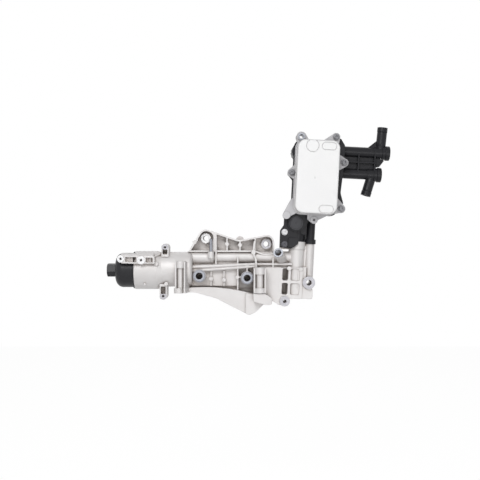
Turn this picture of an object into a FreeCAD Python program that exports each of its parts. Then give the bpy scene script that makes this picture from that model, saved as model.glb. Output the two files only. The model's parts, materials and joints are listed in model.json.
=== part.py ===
import FreeCAD, Part
import math
import os

from FreeCAD import Vector

# Engine oil filter housing with a plate oil cooler and a coolant manifold.
# Millimetres, +Z up. The engine face lies in the plane Y = 0 and faces +Y; the outer side faces -Y.
# X runs along the filter barrel, with the screw cap at the low end. The origin lies on the engine face.

# Filter barrel of the casting, turned about an axis along X
filter_y = -46.0
filter_z = -60.5
mouth_x = -210.5
collar_radius = 38.3
collar_length = 45.5
collar_taper = 13.0
mouth_chamfer = 2.0
barrel_wall = 4.0
barrel_lift = 1.5
chamber_radius = 31.0
chamber_length = 105.5
thread_bore_radius = 34.0
thread_bore_depth = 26.0
end_wall = 10.0

# Screw cap
cap_radius = 34.5
cap_side_length = 22.5
cap_flange_radius = 37.0
cap_flange_thickness = 2.2
cap_dome_length = 15.4
cap_crown_radius = 19.0
cap_dome_round = 15.0
cap_wall = 4.2
cap_shoulder_gap = 0.6
cap_skirt_length = 20.0
cap_thread_clearance = 0.4
cap_hex_flats = 24.0
cap_hex_length = 18.0
cap_hex_turn = 12.0
cap_hex_recess_radius = 7.0
cap_hex_recess_depth = 10.0
clip_ring_radius = 17.5
clip_ring_wall = 2.0
clip_slot_width = 6.0

# Round section seal under the cap shoulder
seal_section = 1.5
seal_offset = 5.0
seal_gap = 0.15

# Filter element
element_radius = 28.5
element_length = 110.0
element_end_gap = 6.0
pleat_count = 44
pleat_root_radius = 18.5
core_radius = 15.0
core_wall = 1.8
end_disc_thickness = 2.5
end_disc_margin = 0.4
end_collar_radius = 17.1
end_collar_length = 6.0
element_slide_clearance = 0.4
base_seal_radius = 20.0

# Centre tube with the bypass valve in its tip
centre_tube_radius = 12.0
centre_tube_wall = 2.4
centre_tube_beyond = 8.0
centre_tube_root = 8.0
centre_flange_radius = 22.0
centre_flange_thickness = 3.0
window_rows = 4
window_columns = 3
window_height = 7.0
window_length = 14.0
valve_hole_radius = 5.5
valve_disc_radius = 8.0
valve_disc_thickness = 3.0
valve_stem_radius = 2.0
valve_stem_length = 22.0
valve_seat_thickness = 3.0
valve_spring_room = 14.0
valve_spring_radius = 4.6
valve_spring_wire = 0.6
valve_spring_turns = 4.5
valve_bore_step = 0.8
valve_retainer_thickness = 3.0
stem_clearance = 0.3
touch_gap = 0.1

# Oil galleries cast along the top of the housing
gallery_z = -34.5
gallery_y = -40.0
gallery_radius = 11.5
gallery_bore_radius = 7.5
front_gallery_y = -47.0
front_gallery_radius = 10.7
gallery_start_x = -106.0
gallery_end_x = 104.0
gallery_lump_radius = 12.6
gallery_lump_length = 46.0
gallery_lump_drop = 1.0
riser_x = -90.0
riser_bore_radius = 6.5
outlet_radius = 8.0

# Slim cast rails below the galleries: level and radius at the left end, then at the right end
rail_y = -60.0
rails_left = ((-54.5, 4.1), (-62.0, 3.6))
rails_right = ((-48.3, 2.9), (-53.0, 2.8))
rail_start_x = -104.0
rail_end_x = 30.0
strip_radius = 2.6
pad_wall_x = (68.5, 95.5)
pad_wall_top_z = -27.0

# Web panel, shelf and gusset under the galleries
web_front_y = -50.0
web_thickness = 6.0
web_end_x = -3.0
web_low_z = -92.0
web_groove_depth = 12.0
deep_floor_y = -28.0
deep_floor_low_z = -97.0
rib_front_y = -62.0
rib_thickness = 3.0
rim_thickness = 3.2
pad_radius = 4.0
shelf_thickness = 5.0
gusset_front_y = -66.0
gusset_thickness = 6.0
gusset_step = 5.0
gusset_fold_x = 11.0

# Bolt bosses towards the engine: place (x, z), boss radius, front face and hole radius
boss_a = (-69.0, 3.5)
boss_b = (53.0, -8.0)
boss_c = (-81.0, -71.5)
boss_d = (14.2, -75.5)
boss_e = (137.0, -85.0)
boss_f = (89.0, -122.0)
boss_a_radius = 10.4
boss_a_front = -46.0
boss_b_front = -42.0
boss_cd_radius = 13.0
boss_cd_front = -70.0
boss_e_radius = 12.5
boss_e_front = -70.0
boss_f_radius = 10.5
boss_f_front = -66.5
bolt_hole_radius = 5.5
small_bolt_hole_radius = 3.6
bushing_radius = 11.3
bushing_hole_radius = 6.5
bushing_length = 26.0
bushing_proud = 5.0
bushed_hole_end_y = -14.0
press_clearance = 0.1

# Tilted sensor port
port_end = (75.5, -84.0, -25.5)
port_tilt_direction = (6.4, 24.0, -10.6)
port_boss_radius = 10.0
port_length = 44.0
port_hole_radius = 6.4
port_hole_step = 0.8
port_hole_depth = 24.0
port_insert_radius = 8.4
port_insert_flange = 9.6
port_insert_flange_thickness = 1.5
port_insert_length = 15.0

# Upper engine bracket: corners (x, z, corner radius)
bracket_corners = (
    (-104.0, -24.0, 0.0),
    (-74.7, 24.0, 15.0),
    (-2.0, -0.5, 22.0),
    (68.5, 13.0, 15.0),
    (68.5, -29.5, 5.0),
    (46.0, -30.5, 14.0),
    (30.0, -24.0, 0.0),
)
bracket_front_y = -58.0
bracket_back_y = -8.0
bracket_floor_y = -32.0
bracket_floor = 5.0
bracket_walls_x = (-48.0, -26.0, 0.0, 30.5)
bracket_low_z = -22.0
low_recess_floor_y = -46.0

# Right-hand block with the flat panel and the four pockets
block_left_x = 27.0
block_right_x = 126.2
block_right_slant = 3.0
block_top_z = -55.0
block_bottom_z = -117.5
block_front_y = -64.0
block_wall = 4.0
block_slope_rise = 5.0
block_slope_depth = 12.0
pocket_left_x = 85.1
pocket_mid_x = 99.5
pocket_right_x = 120.0
pocket_mid_z = -84.6
pocket_high_gap = 2.8
pocket_low_gap = 7.2
pocket_bar = 5.0
pocket_floor_y = -22.0
pocket_corner = 3.5
pocket_back_wall = 5.0
block_pads = ((98.4, -56.8, 4.4), (121.3, -58.2, 3.9))
block_pad_proud = 0.8
oil_cavity_depth = 57.0

# Engine flange round the oil cavity
flange_thickness = 9.0
flange_margin = 9.0
groove_width = 3.6
groove_depth = 2.6
inlet_pad_x = -124.0
inlet_pad_radius = 13.0
inlet_port_radius = 6.5
datum_pad_radius = 8.0

# Upright bolt pillars at the front
pillar_y = -87.0
pillar_c_x = -117.5
pillar_d_x = 39.0
pillar_c_top = -41.5
pillar_d_top = -54.0
pillar_c_head_radius = 8.4
pillar_d_head_radius = 10.4
pillar_leg_outset = 1.8
pillar_leg_thickness = 3.2
pillar_tube_shrink = 3.4
pillar_foot_z = -104.5
pillar_head_height = 13.8
pillar_head_round = 2.0
pillar_hole_radius = 4.2
pillar_foot_height = 10.0
pillar_c_foot_shift = -3.4
pillar_d_foot_shift = 0.0
pillar_c_flare = 6.5
pillar_d_flare = 0.0
pillar_back_y = -60.0

# Lugs with small tapped holes on the barrel
tapped_hole_radius = 2.5
tapped_hole_depth = 16.0
arm_front_y = -93.5
arm_depth = 12.0
arm_pad_left = (-234.0, -37.0)
arm_pad_right = (-194.0, -39.5)
arm_pad_left_radius = 7.2
arm_pad_right_radius = 8.2
arm_wall = 2.6
arm_lip_depth = 21.0
arm_end_reach = 26.0
tab_front_y = -72.0
tab_back_y = -30.0
tab_top = (-149.0, -14.5)
tab_bottom = (-152.5, -111.5)
tab_radius = 7.2
tab_slot_width = 9.6

# Upright steel pin beside the left bracket boss
pin_x = -58.0
pin_y = -66.0
pin_radius = 3.0
pin_top_z = 2.5
pin_seat_z = -30.0
pin_block_top_z = -23.0
pin_block_width = 12.5

# Tilted frame of the tower, manifold and cooler: it leans towards +X about this point
module_tilt = 3.0
module_pivot = (120.0, 0.0, -60.0)

# Tower columns, in the tilted frame
tower_y = -46.0
main_column_x = 112.0
main_column_radius = 16.0
main_bore_radius = 11.5
side_column_x = 138.5
side_column_radius = 9.0
side_bore_radius = 6.0
tower_top_z = -3.5
side_top_z = -7.0
tower_bottom_z = -118.0
tower_collar_height = 15.5
tower_collar_step = 1.4
bore_bottom_z = -100.0
lug_radius = 7.5
lug_back_y = -36.0
lug_web = 8.0
lug_low_z = -20.0

# Coolant manifold, in the tilted frame
manifold_front_y = -76.0
manifold_flange = 8.0
manifold_back_y = -34.0
manifold_wall = 3.0
spigot_clearance = 0.2
spigot_depth = 14.0
tower_seal_section = 1.4
side_seal_section = 0.9
side_duct_radius = 3.2
side_collar_radius = 11.2
side_collar_height = 9.0
plug_boss = (106.5, 33.0)
plug_boss_radius = 16.6
plug_radius = 13.8
plug_front_y = -74.0
plug_thickness = 6.0
bracket_screw_up = (85.0, 14.0)
bracket_screw_low = (86.0, -10.0)
bracket_plate_back_y = -56.0
bracket_plate_thickness = 8.0
bulge_centre = (108.0, 175.0)
bulge_radius = 17.0
bulge_rib_count = 9

# Twin pipes of the manifold, in the tilted frame
pipe_y = -52.0
upper_pipe_z = 182.5
lower_pipe_z = 138.3
pipe_start_x = 170.0
upper_pipe_end_x = 278.6
lower_pipe_end_x = 264.0
pipe_radius = 10.2
pipe_bore_radius = 7.4
lower_sleeve_radius = 11.2
lower_sleeve_start_x = 244.0
pipe_plug_radius = 14.6
pipe_plug_length = 9.0
pipe_plug_spigot = 6.0
upper_spigot_x = 268.8
upper_spigot_lean = 3.0
upper_spigot_length = 51.0
lower_spigot_x = 255.0
lower_spigot_lean = 14.5
lower_spigot_length = 44.0
spigot_radius = 8.8
spigot_bead_radius = 10.2
spigot_bead_length = 9.0
spigot_bore_radius = 6.6
pipe_web_thickness = 4.0
pipe_web_y = -50.0
pipe_rib_xs = (225.5, 258.0)

# Cooler carrier plate, in the tilted frame: screw ears (x, z)
carrier_front_y = -84.0
ear_screws = ((175.6, 206.0), (194.2, 156.3), (92.0, 132.0), (192.8, 65.4))
ear_radius = 8.3
ear_engine = (107.3, 203.6)
ear_engine_radius = 9.8
ear_sleeve_radius = 7.0
ear_sleeve_hole = 4.0
boss_low_left = (85.8, 47.0)
boss_low_right = (140.5, 40.6)
low_boss_radius = 7.4
low_boss_proud = 3.0
screw_hole_radius = 3.3

# Brazed plate cooler, in the tilted frame
cooler_centre = (140.0, 123.5)
cooler_width = 81.0
cooler_height = 142.0
cooler_depth = 38.0
cooler_corner = 15.0
cooler_base_thickness = 3.0
cooler_base_step = 0.6
cooler_cover_thickness = 4.0
cooler_cover_round = 2.6
cooler_plate_count = 9
cooler_plate_groove = 1.2
cooler_emboss = 0.8
stadium_length = 29.0
stadium_width = 15.5
stadium_top = (159.5, 183.0)
stadium_bottom = (159.5, 61.5)
ring_emboss = (127.5, 182.5)
ring_emboss_radius = 12.5
oil_port_z = 64.0
coolant_port_x = 150.0
port_radius = 8.0
port_seal_radius = 11.0
port_seal_section = 1.3

# Screws, sleeves and inserts
screw_head_radius = 6.2
screw_head_height = 5.2
screw_shank_radius = 3.0
screw_length = 18.0
screw_socket_radius = 2.7
screw_socket_depth = 3.0
insert_radius = 4.6
insert_length = 12.0
sleeve_radius = 5.2
sleeve_hole_radius = 3.3
washer_face_height = 0.8
ear_boss_margin = 0.4
ear_engine_raise_radius = 8.4

chamber_end_x = mouth_x + chamber_length
barrel_radius = chamber_radius + barrel_wall
barrel_end_x = chamber_end_x + end_wall
centre_tube_reach = element_length + centre_tube_beyond
joint_overlap = 1.0
turn = 360.0
quarter = 90.0


def cylinder_x(y, z, radius, x_low, x_high):
    return Part.makeCylinder(radius, x_high - x_low, Vector(x_low, y, z), Vector(1, 0, 0))


def cylinder_y(x, z, radius, y_low, y_high):
    return Part.makeCylinder(radius, y_high - y_low, Vector(x, y_low, z), Vector(0, 1, 0))


def cylinder_z(x, y, radius, z_low, z_high):
    return Part.makeCylinder(radius, z_high - z_low, Vector(x, y, z_low), Vector(0, 0, 1))


def block(x_low, x_high, y_low, y_high, z_low, z_high):
    return Part.makeBox(x_high - x_low, y_high - y_low, z_high - z_low, Vector(x_low, y_low, z_low))


def outline(corners, level, axis):
    """A closed wire of straight runs whose corners (a, b, radius) are rounded by tangent arcs."""
    place = {
        "x": lambda a, b: Vector(level, a, b),
        "y": lambda a, b: Vector(a, level, b),
        "z": lambda a, b: Vector(a, b, level),
    }[axis]
    count = len(corners)
    starts, edges = [], []
    for index, (a, b, radius) in enumerate(corners):
        here = Vector(a, b, 0)
        before = Vector(*corners[index - 1][:2], 0) - here
        after = Vector(*corners[(index + 1) % count][:2], 0) - here
        before.normalize()
        after.normalize()
        half = before.getAngle(after) / 2
        middle = before + after
        if radius <= 0 or middle.Length < 1e-6:
            starts.append((here, None, here))
            continue
        middle.normalize()
        reach = radius / math.tan(half)
        nearest = here + middle * (radius / math.sin(half) - radius)
        starts.append((here + before * reach, nearest, here + after * reach))
    for index, (first, nearest, last) in enumerate(starts):
        if nearest is not None:
            edges.append(Part.Arc(place(first.x, first.y), place(nearest.x, nearest.y),
                                  place(last.x, last.y)).toShape())
        following = starts[(index + 1) % count][0]
        if (following - last).Length > 1e-6:
            edges.append(Part.LineSegment(place(last.x, last.y), place(following.x, following.y)).toShape())
    return Part.Wire(edges)


def plate(corners, axis, low, high):
    """A flat solid with rounded corners, from low to high along the axis."""
    direction = {"x": Vector(1, 0, 0), "y": Vector(0, 1, 0), "z": Vector(0, 0, 1)}[axis]
    return Part.Face(outline(corners, low, axis)).extrude(direction * (high - low))


def turned_x(profile, y, z):
    """A solid of revolution about the line along X through (y, z), from (x, radius, corner) points."""
    face = Part.Face(outline(profile, 0.0, "z"))
    solid = face.revolve(Vector(0, 0, 0), Vector(1, 0, 0), turn)
    solid.translate(Vector(0, y, z))
    return solid


def strap(first, first_radius, second, second_radius, y_low, y_high):
    """A flat link: the hull of two discs that lie across Y."""
    (x1, z1), (x2, z2) = first, second
    span = math.hypot(x2 - x1, z2 - z1)
    heading = math.atan2(z2 - z1, x2 - x1)
    swing = math.acos((first_radius - second_radius) / span)

    def at(x, z, radius, angle):
        return Vector(x + radius * math.cos(angle), y_low, z + radius * math.sin(angle))

    a1, a2 = at(x1, z1, first_radius, heading + swing), at(x1, z1, first_radius, heading - swing)
    b1, b2 = at(x2, z2, second_radius, heading + swing), at(x2, z2, second_radius, heading - swing)
    edges = [
        Part.Arc(a1, at(x1, z1, first_radius, heading + math.pi), a2).toShape(),
        Part.LineSegment(a2, b2).toShape(),
        Part.Arc(b2, at(x2, z2, second_radius, heading), b1).toShape(),
        Part.LineSegment(b1, a1).toShape(),
    ]
    return Part.Face(Part.Wire(edges)).extrude(Vector(0, y_high - y_low, 0))


def rounded_box(x_low, x_high, y_low, y_high, z_low, z_high, corner):
    """A box whose four edges along Y are rounded."""
    corners = ((x_low, z_low, corner), (x_high, z_low, corner),
               (x_high, z_high, corner), (x_low, z_high, corner))
    return plate(corners, "y", y_low, y_high)


def stadium(centre, length, width, y_low, y_high):
    """A slot-shaped solid lying along X."""
    x, z = centre
    return rounded_box(x - length / 2, x + length / 2, y_low, y_high,
                       z - width / 2, z + width / 2, width / 2 - 0.01)


def hexagon_x(y, z, flats, x_low, x_high, turned):
    radius = flats / math.sqrt(3)
    corners = [(y + radius * math.cos(math.radians(turned + 60 * k)),
                z + radius * math.sin(math.radians(turned + 60 * k)), 0) for k in range(6)]
    return plate(corners, "x", x_low, x_high)


def bar(start, end, radius):
    """A round bar between two points."""
    along = Vector(*end) - Vector(*start)
    return Part.makeCylinder(radius, along.Length, Vector(*start), along)


def fused(shapes):
    shapes = list(shapes)
    if len(shapes) == 1:
        return shapes[0]
    return shapes[0].multiFuse(shapes[1:])


def cut_from(body, tools):
    return body.cut(fused(tools)) if len(tools) == 1 else body.cut(Part.makeCompound(tools))


def leaning(shape):
    """Carries a shape of the tilted frame into the part's own frame."""
    copy = shape.copy()
    copy.rotate(Vector(*module_pivot), Vector(0, 1, 0), module_tilt)
    return copy


# The casting


def barrel():
    """Outer form of the filter barrel, with its collar and rounded end."""
    collar_end = mouth_x + collar_length
    collar = (
        (mouth_x, 0, 0),
        (mouth_x, collar_radius, mouth_chamfer),
        (collar_end, collar_radius, mouth_chamfer),
        (collar_end + collar_taper, barrel_radius - 1, 0),
        (collar_end + collar_taper, 0, 0),
    )
    drum = (
        (collar_end - collar_taper, 0, 0),
        (collar_end - collar_taper, barrel_radius, 0),
        (barrel_end_x, barrel_radius, 7),
        (barrel_end_x, 0, 0),
    )
    riser_lump = cylinder_z(riser_x, gallery_y, riser_bore_radius + barrel_wall, filter_z, gallery_z)
    end_lump = cylinder_x(filter_y, filter_z, outlet_radius + barrel_wall,
                          barrel_end_x - joint_overlap, riser_x + riser_bore_radius + barrel_wall)
    return [turned_x(collar, filter_y, filter_z), turned_x(drum, filter_y, filter_z + barrel_lift),
            riser_lump, end_lump]


def barrel_bores():
    """Thread bore, filter chamber and the clean oil passage to the gallery."""
    thread = cylinder_x(filter_y, filter_z, thread_bore_radius, mouth_x, mouth_x + thread_bore_depth)
    chamber = cylinder_x(filter_y, filter_z, chamber_radius, mouth_x, chamber_end_x)
    seat = cylinder_x(filter_y, filter_z, centre_tube_radius + press_clearance, chamber_end_x,
                      chamber_end_x + centre_tube_root)
    outlet = cylinder_x(filter_y, filter_z, outlet_radius, chamber_end_x, riser_x)
    riser = cylinder_z(riser_x, gallery_y, riser_bore_radius, filter_z, gallery_z)
    inlet = cylinder_y(inlet_pad_x, filter_z, inlet_port_radius, filter_y, 0)
    return [thread, chamber, seat, outlet, riser, inlet]


def galleries():
    """The oil gallery along the top, its front half and the lump where it leaves the barrel."""
    lump_end = gallery_start_x + gallery_lump_length
    main = cylinder_x(gallery_y, gallery_z, gallery_radius, gallery_start_x, gallery_end_x)
    front = cylinder_x(front_gallery_y, gallery_z, front_gallery_radius, gallery_start_x, gallery_end_x)
    lump = turned_x((
        (gallery_start_x, 0, 0),
        (gallery_start_x, gallery_lump_radius, 0),
        (lump_end + gallery_lump_radius * 0.8, gallery_lump_radius, gallery_lump_radius * 0.5),
        (lump_end + gallery_lump_radius * 0.8, 0, 0),
    ), front_gallery_y, gallery_z - gallery_lump_drop)
    backing = block(gallery_start_x, gallery_end_x, gallery_y, deep_floor_y + web_thickness,
                    gallery_z - gallery_radius + 1, gallery_z + gallery_radius / 2)
    return [main, front, lump, backing]


def rails():
    """Two slim tapered rails that rise gently towards the block, and the strip that leads on to the tower."""
    solids = []
    for (left_z, left_radius), (right_z, right_radius) in zip(rails_left, rails_right):
        start = Vector(rail_start_x, rail_y, left_z)
        along = Vector(rail_end_x, rail_y, right_z) - start
        solids.append(Part.makeCone(left_radius, right_radius, along.Length, start, along))
    strip_z = rails_right[0][0]
    solids.append(cylinder_x(rail_y + 0.4, strip_z - 0.1, strip_radius, rail_end_x - 2, gallery_end_x))
    solids.append(block(block_left_x, gallery_end_x, gallery_y - 6, gallery_y, block_top_z - 2,
                        gallery_z - gallery_radius / 2))
    solids.append(block(pad_wall_x[0], pad_wall_x[1], gallery_y - 12, gallery_y, block_top_z - 2, pad_wall_top_z))
    return solids


def web_panel():
    """The panel under the rails with its upright ribs and round pads, and the deep pocket beside it."""
    low_z, high_z = block_bottom_z + 2 * gusset_step, gallery_z
    back_y = web_front_y + web_groove_depth
    solids = [
        block(chamber_end_x, web_end_x, web_front_y, web_front_y + web_thickness, web_low_z, high_z),
        block(chamber_end_x, web_end_x, web_front_y, back_y + joint_overlap, web_low_z, web_low_z + rib_thickness),
        block(chamber_end_x, web_end_x, back_y, back_y + rib_thickness, -102, web_low_z + rib_thickness),
        block(web_end_x - rib_thickness, web_end_x, rib_front_y, deep_floor_y, -101, high_z),
        block(web_end_x - rib_thickness, block_left_x + joint_overlap, deep_floor_y,
              deep_floor_y + web_thickness, deep_floor_low_z, high_z),
        block(web_end_x - rib_thickness, block_left_x + joint_overlap, deep_floor_y + web_thickness - 1,
              deep_floor_y + 2 * web_thickness, low_z, deep_floor_low_z + rib_thickness),
    ]
    pads = ((-58.0, -77.5), (-32.0, -79.8), (-5.0, -74.4), (14.8, -51.5))
    for x, z in pads:
        solids.append(cylinder_y(x, z, pad_radius, rib_front_y - 0.5, deep_floor_y))
    for x, _ in pads[:2]:
        solids.append(block(x - rib_thickness / 2, x + rib_thickness / 2, rib_front_y + pad_radius,
                            web_front_y + joint_overlap, web_low_z, rails_left[1][0]))
    boss_x, boss_z = boss_d
    solids.append(block(boss_x - rib_thickness / 2, boss_x + rib_thickness / 2, rib_front_y, deep_floor_y,
                        boss_z, -51.0))
    solids.append(block(web_end_x - 1, boss_x, rib_front_y, deep_floor_y, pads[2][1] - rib_thickness / 2,
                        pads[2][1] + rib_thickness / 2))
    return solids


def shelf_and_gusset():
    """The curved shelf under the web and the triangular gusset that hangs from its front edge."""
    left, middle, right = (-118.0, -97.0), (-45.0, -95.0), (28.0, -108.0)
    top = Part.Arc(*[Vector(x, gusset_front_y, z) for x, z in (left, middle, right)]).toShape()
    below = Part.Arc(*[Vector(x, gusset_front_y, z - shelf_thickness) for x, z in (right, middle, left)]).toShape()
    ends = [
        Part.LineSegment(top.Vertexes[-1].Point, below.Vertexes[0].Point).toShape(),
        Part.LineSegment(below.Vertexes[-1].Point, top.Vertexes[0].Point).toShape(),
    ]
    section = Part.Face(Part.Wire([top, ends[0], below, ends[1]]))
    shelf = section.extrude(Vector(0, -gusset_front_y - flange_thickness, 0))
    corners = (
        (-118.0, -98.0, 0.0),
        (-118.0, -103.5, 0.0),
        (-88.0, -104.8, 30.0),
        (-48.0, -116.0, 60.0),
        (17.5, -149.5, 8.0),
        (30.0, -144.5, 8.0),
        (47.0, -128.0, 0.0),
        (47.0, -110.0, 0.0),
        (26.0, -108.2, 0.0),
        (-10.0, -100.5, 0.0),
        (-50.0, -96.0, 0.0),
    )
    skin = plate(corners, "y", gusset_front_y, gusset_front_y + gusset_thickness)
    raised = plate(corners, "y", gusset_front_y - gusset_step, gusset_front_y + joint_overlap)
    window = plate(((gusset_fold_x, -160, 0), (60, -160, 0), (60, -120, 0), (32, -120, 0), (30, -107.5, 9),
                    (gusset_fold_x, -105.5, 3)), "y", gusset_front_y - gusset_step, gusset_front_y + joint_overlap)
    raised = raised.common(window)
    braces = []
    for x, top, depth in ((-60.0, -97.5, 10.0), (-24.0, -99.5, 22.0), (gusset_fold_x, -107.0, 25.0)):
        braces.append(plate(
            ((gusset_front_y + joint_overlap, top - depth, 0), (gusset_front_y + joint_overlap, top, 0),
             (-flange_thickness - joint_overlap, top - 1, 0)), "x", x - rib_thickness / 2, x + rib_thickness / 2))
    return [shelf, skin, raised] + braces


def boss_places():
    """Each through boss as (x, z, radius, front y)."""
    return [
        (*boss_a, boss_a_radius, boss_a_front),
        (*boss_b, boss_a_radius, boss_b_front),
        (*boss_c, boss_cd_radius, boss_cd_front),
        (*boss_d, boss_cd_radius, boss_cd_front),
        (*boss_e, boss_e_radius, boss_e_front),
        (*boss_f, boss_f_radius, boss_f_front),
    ]


def engine_bosses():
    return [cylinder_y(x, z, radius, front, 0) for x, z, radius, front in boss_places()]


def engine_holes():
    """Through holes for the engine bolts, and the bushed blind holes for the bolts of a neighbouring part."""
    holes = [cylinder_y(*place, radius, -2 * collar_radius, joint_overlap)
             for place, radius in ((boss_a, bolt_hole_radius), (boss_b, bolt_hole_radius),
                                   (boss_e, bolt_hole_radius), (boss_f, small_bolt_hole_radius))]
    for place in (boss_c, boss_d):
        holes.append(cylinder_y(*place, bushing_hole_radius, boss_cd_front, bushed_hole_end_y))
        holes.append(cylinder_y(*place, bushing_radius + press_clearance, boss_cd_front,
                                boss_cd_front + bushing_length - bushing_proud))
    return holes


def bracket():
    """The ribbed upper bracket round the two upper engine bolts."""
    body = plate(bracket_corners, "y", bracket_front_y, bracket_back_y)
    inner = Part.Face(outline(bracket_corners, bracket_front_y, "y").makeOffset2D(-rim_thickness))
    hollow = inner.extrude(Vector(0, bracket_floor_y - bracket_front_y, 0))
    behind = inner.extrude(Vector(0, bracket_back_y - bracket_floor_y - bracket_floor, 0))
    behind.translate(Vector(0, bracket_floor_y + bracket_floor - bracket_front_y, 0))
    walls = list(bracket_walls_x)
    bays = [block(left + rib_thickness / 2, right - rib_thickness / 2, bracket_front_y, bracket_floor_y,
                  bracket_low_z, 30) for left, right in zip(walls, walls[1:])]
    bays.append(block(walls[-1] + rib_thickness / 2, 80, bracket_front_y, bracket_floor_y, -40, 30))
    recess = cylinder_y(*boss_a, boss_a_radius + 5.5, bracket_front_y, bracket_floor_y)
    corner_bay = plate(((-100, bracket_low_z, 0), (-58, bracket_low_z, 0), (-64, -6, 0), (-86, -2, 0)), "y",
                       bracket_front_y, bracket_floor_y)
    pockets = [hollow.common(tool) for tool in bays + [recess, corner_bay]]
    body = cut_from(body, pockets + [behind])
    ribs = [cylinder_y(x, z, pad_radius, bracket_front_y, bracket_floor_y)
            for x, z in ((-26.0, -8.0), (0.0, -10.0))]
    ribs.append(cylinder_y(-91.0, -4.5, pad_radius, bracket_front_y, bracket_floor_y))
    for x in (-26.0, 0.0):
        ribs.append(block(x - rib_thickness / 2, x + rib_thickness / 2, bracket_floor_y,
                          bracket_back_y, -24, -4))
    return [body] + ribs


def low_recess():
    """Room under the right bracket boss, cut into the top of the gallery as well."""
    inner = Part.Face(outline(bracket_corners, bracket_front_y, "y").makeOffset2D(-rim_thickness))
    inner = inner.extrude(Vector(0, low_recess_floor_y - bracket_front_y, 0))
    return inner.common(block(bracket_walls_x[-1] + rib_thickness / 2, 80, bracket_front_y, low_recess_floor_y,
                              -40, bracket_low_z + 2))


def crossing_ribs():
    """The bent rib over the gallery, the straight one left of it and the short one beside the tilted port."""
    bent = plate(
        ((27.5, -2, 0), (31.5, -2, 0), (29.5, -18, 6), (28.5, -27, 6), (33.5, -38, 6), (34.5, -56, 0),
         (30.5, -56, 0), (29.5, -38, 6), (24.5, -27, 6), (25.5, -18, 6)), "y", rib_front_y - 2, deep_floor_y)
    pad = cylinder_y(27.0, -24.5, pad_radius + 0.5, rib_front_y - 2, deep_floor_y)
    short = block(64.5, 64.5 + rib_thickness, rib_front_y, deep_floor_y, -56, -36)
    wall_x = bracket_walls_x[0]
    straight = block(wall_x - rib_thickness / 2, wall_x + rib_thickness / 2, rib_front_y + 2, gallery_y,
                     gallery_z - gallery_lump_radius - 2, bracket_low_z)
    return [bent, pad, short, straight]


def right_block():
    """The block behind the flat panel, with the leaning pocket grid and the oil cavity towards the engine."""
    corners = (
        (block_left_x, block_top_z, 2.0),
        (block_left_x, block_bottom_z + 6, 4.0),
        (boss_f[0] - 25, block_bottom_z - 4, 6.0),
        (boss_f[0] - 10, block_bottom_z - 13, 8.0),
        (boss_f[0] + 2, block_bottom_z - 10, 6.0),
        (boss_f[0] + 8, block_bottom_z, 0.0),
        (block_right_x - block_right_slant, block_bottom_z, 3.0),
        (block_right_x, block_top_z, 2.0),
    )
    body = plate(corners, "y", block_front_y, -joint_overlap)
    half = pocket_bar / 2
    columns = ((pocket_left_x, pocket_mid_x - half), (pocket_mid_x + half, pocket_right_x))
    rows = ((block_bottom_z + pocket_low_gap, pocket_mid_z - half),
            (pocket_mid_z + half, block_top_z - pocket_high_gap))
    pockets = [leaning(rounded_box(left, right, block_front_y - 1, pocket_floor_y, low, high, pocket_corner))
               for left, right in columns for low, high in rows]
    cavity = rounded_box(block_left_x + flange_margin + 2, pocket_left_x - block_wall - 2, -oil_cavity_depth, 0,
                         block_bottom_z + flange_margin + 2, block_top_z - flange_margin - 2, 6.0)
    relief = rounded_box(pocket_left_x + block_wall, block_right_x - 2 * block_wall,
                         pocket_floor_y + pocket_back_wall, 0, block_bottom_z + 2 * block_wall,
                         block_top_z - 2 * block_wall, 6.0)
    return cut_from(body, pockets + [cavity, relief])


def block_trim():
    """The sloped top edge of the block and the two round pads on its grid."""
    front, back = block_front_y, gallery_y - 4
    slope = plate(((front, block_top_z - 2, 0), (front, block_top_z, 0),
                   (front + block_slope_depth, block_top_z + block_slope_rise, 0),
                   (back, block_top_z + block_slope_rise, 0), (back, block_top_z - 2, 0)),
                  "x", pillar_d_x, pocket_left_x - 2)
    pads = [cylinder_y(x, z, radius, front - block_pad_proud, front + 6) for x, z, radius in block_pads]
    return [slope] + pads


def pillar(x, top_z, head_radius, foot_shift, flare):
    """An upright bolt pillar: head, bolt tube, two legs, a foot and the wall that ties it to the body."""
    head = cylinder_z(x, pillar_y, head_radius, top_z - pillar_head_height, top_z)
    rim = [edge for edge in head.Edges if abs(edge.BoundBox.ZMin - top_z) < 0.01 and edge.BoundBox.ZLength < 0.01]
    head = head.makeFillet(pillar_head_round, rim)
    tube_radius = max(head_radius - pillar_tube_shrink, pillar_hole_radius + 1.4)
    tube = cylinder_z(x, pillar_y, tube_radius, pillar_foot_z, top_z - 1)
    foot = cylinder_z(x + foot_shift, pillar_y, head_radius + 0.6, pillar_foot_z, pillar_foot_z + pillar_foot_height)
    solids = [head, tube, foot]
    half = head_radius + pillar_leg_outset - pillar_leg_thickness
    for side in (-1, 1):
        near, far = sorted((x + side * half, x + side * (half + pillar_leg_thickness)))
        back_x = far + flare if side > 0 else far
        solids.append(plate(((near, pillar_y - 6, 0), (far, pillar_y - 6, 0), (back_x, pillar_back_y, 0),
                             (near, pillar_back_y, 0)), "z", pillar_foot_z, top_z - 1.5))
    for low, high in ((top_z - pillar_head_height, top_z - 1.5), (pillar_foot_z, pillar_foot_z + pillar_foot_height)):
        solids.append(block(x - half - 1, x + half + 1, pillar_y, pillar_back_y, low, high))
    solids.append(block(x - half - 1, x + half + 1, pillar_y + tube_radius - 1.5, pillar_back_y, pillar_foot_z,
                        top_z - 1.5))
    return solids


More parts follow.
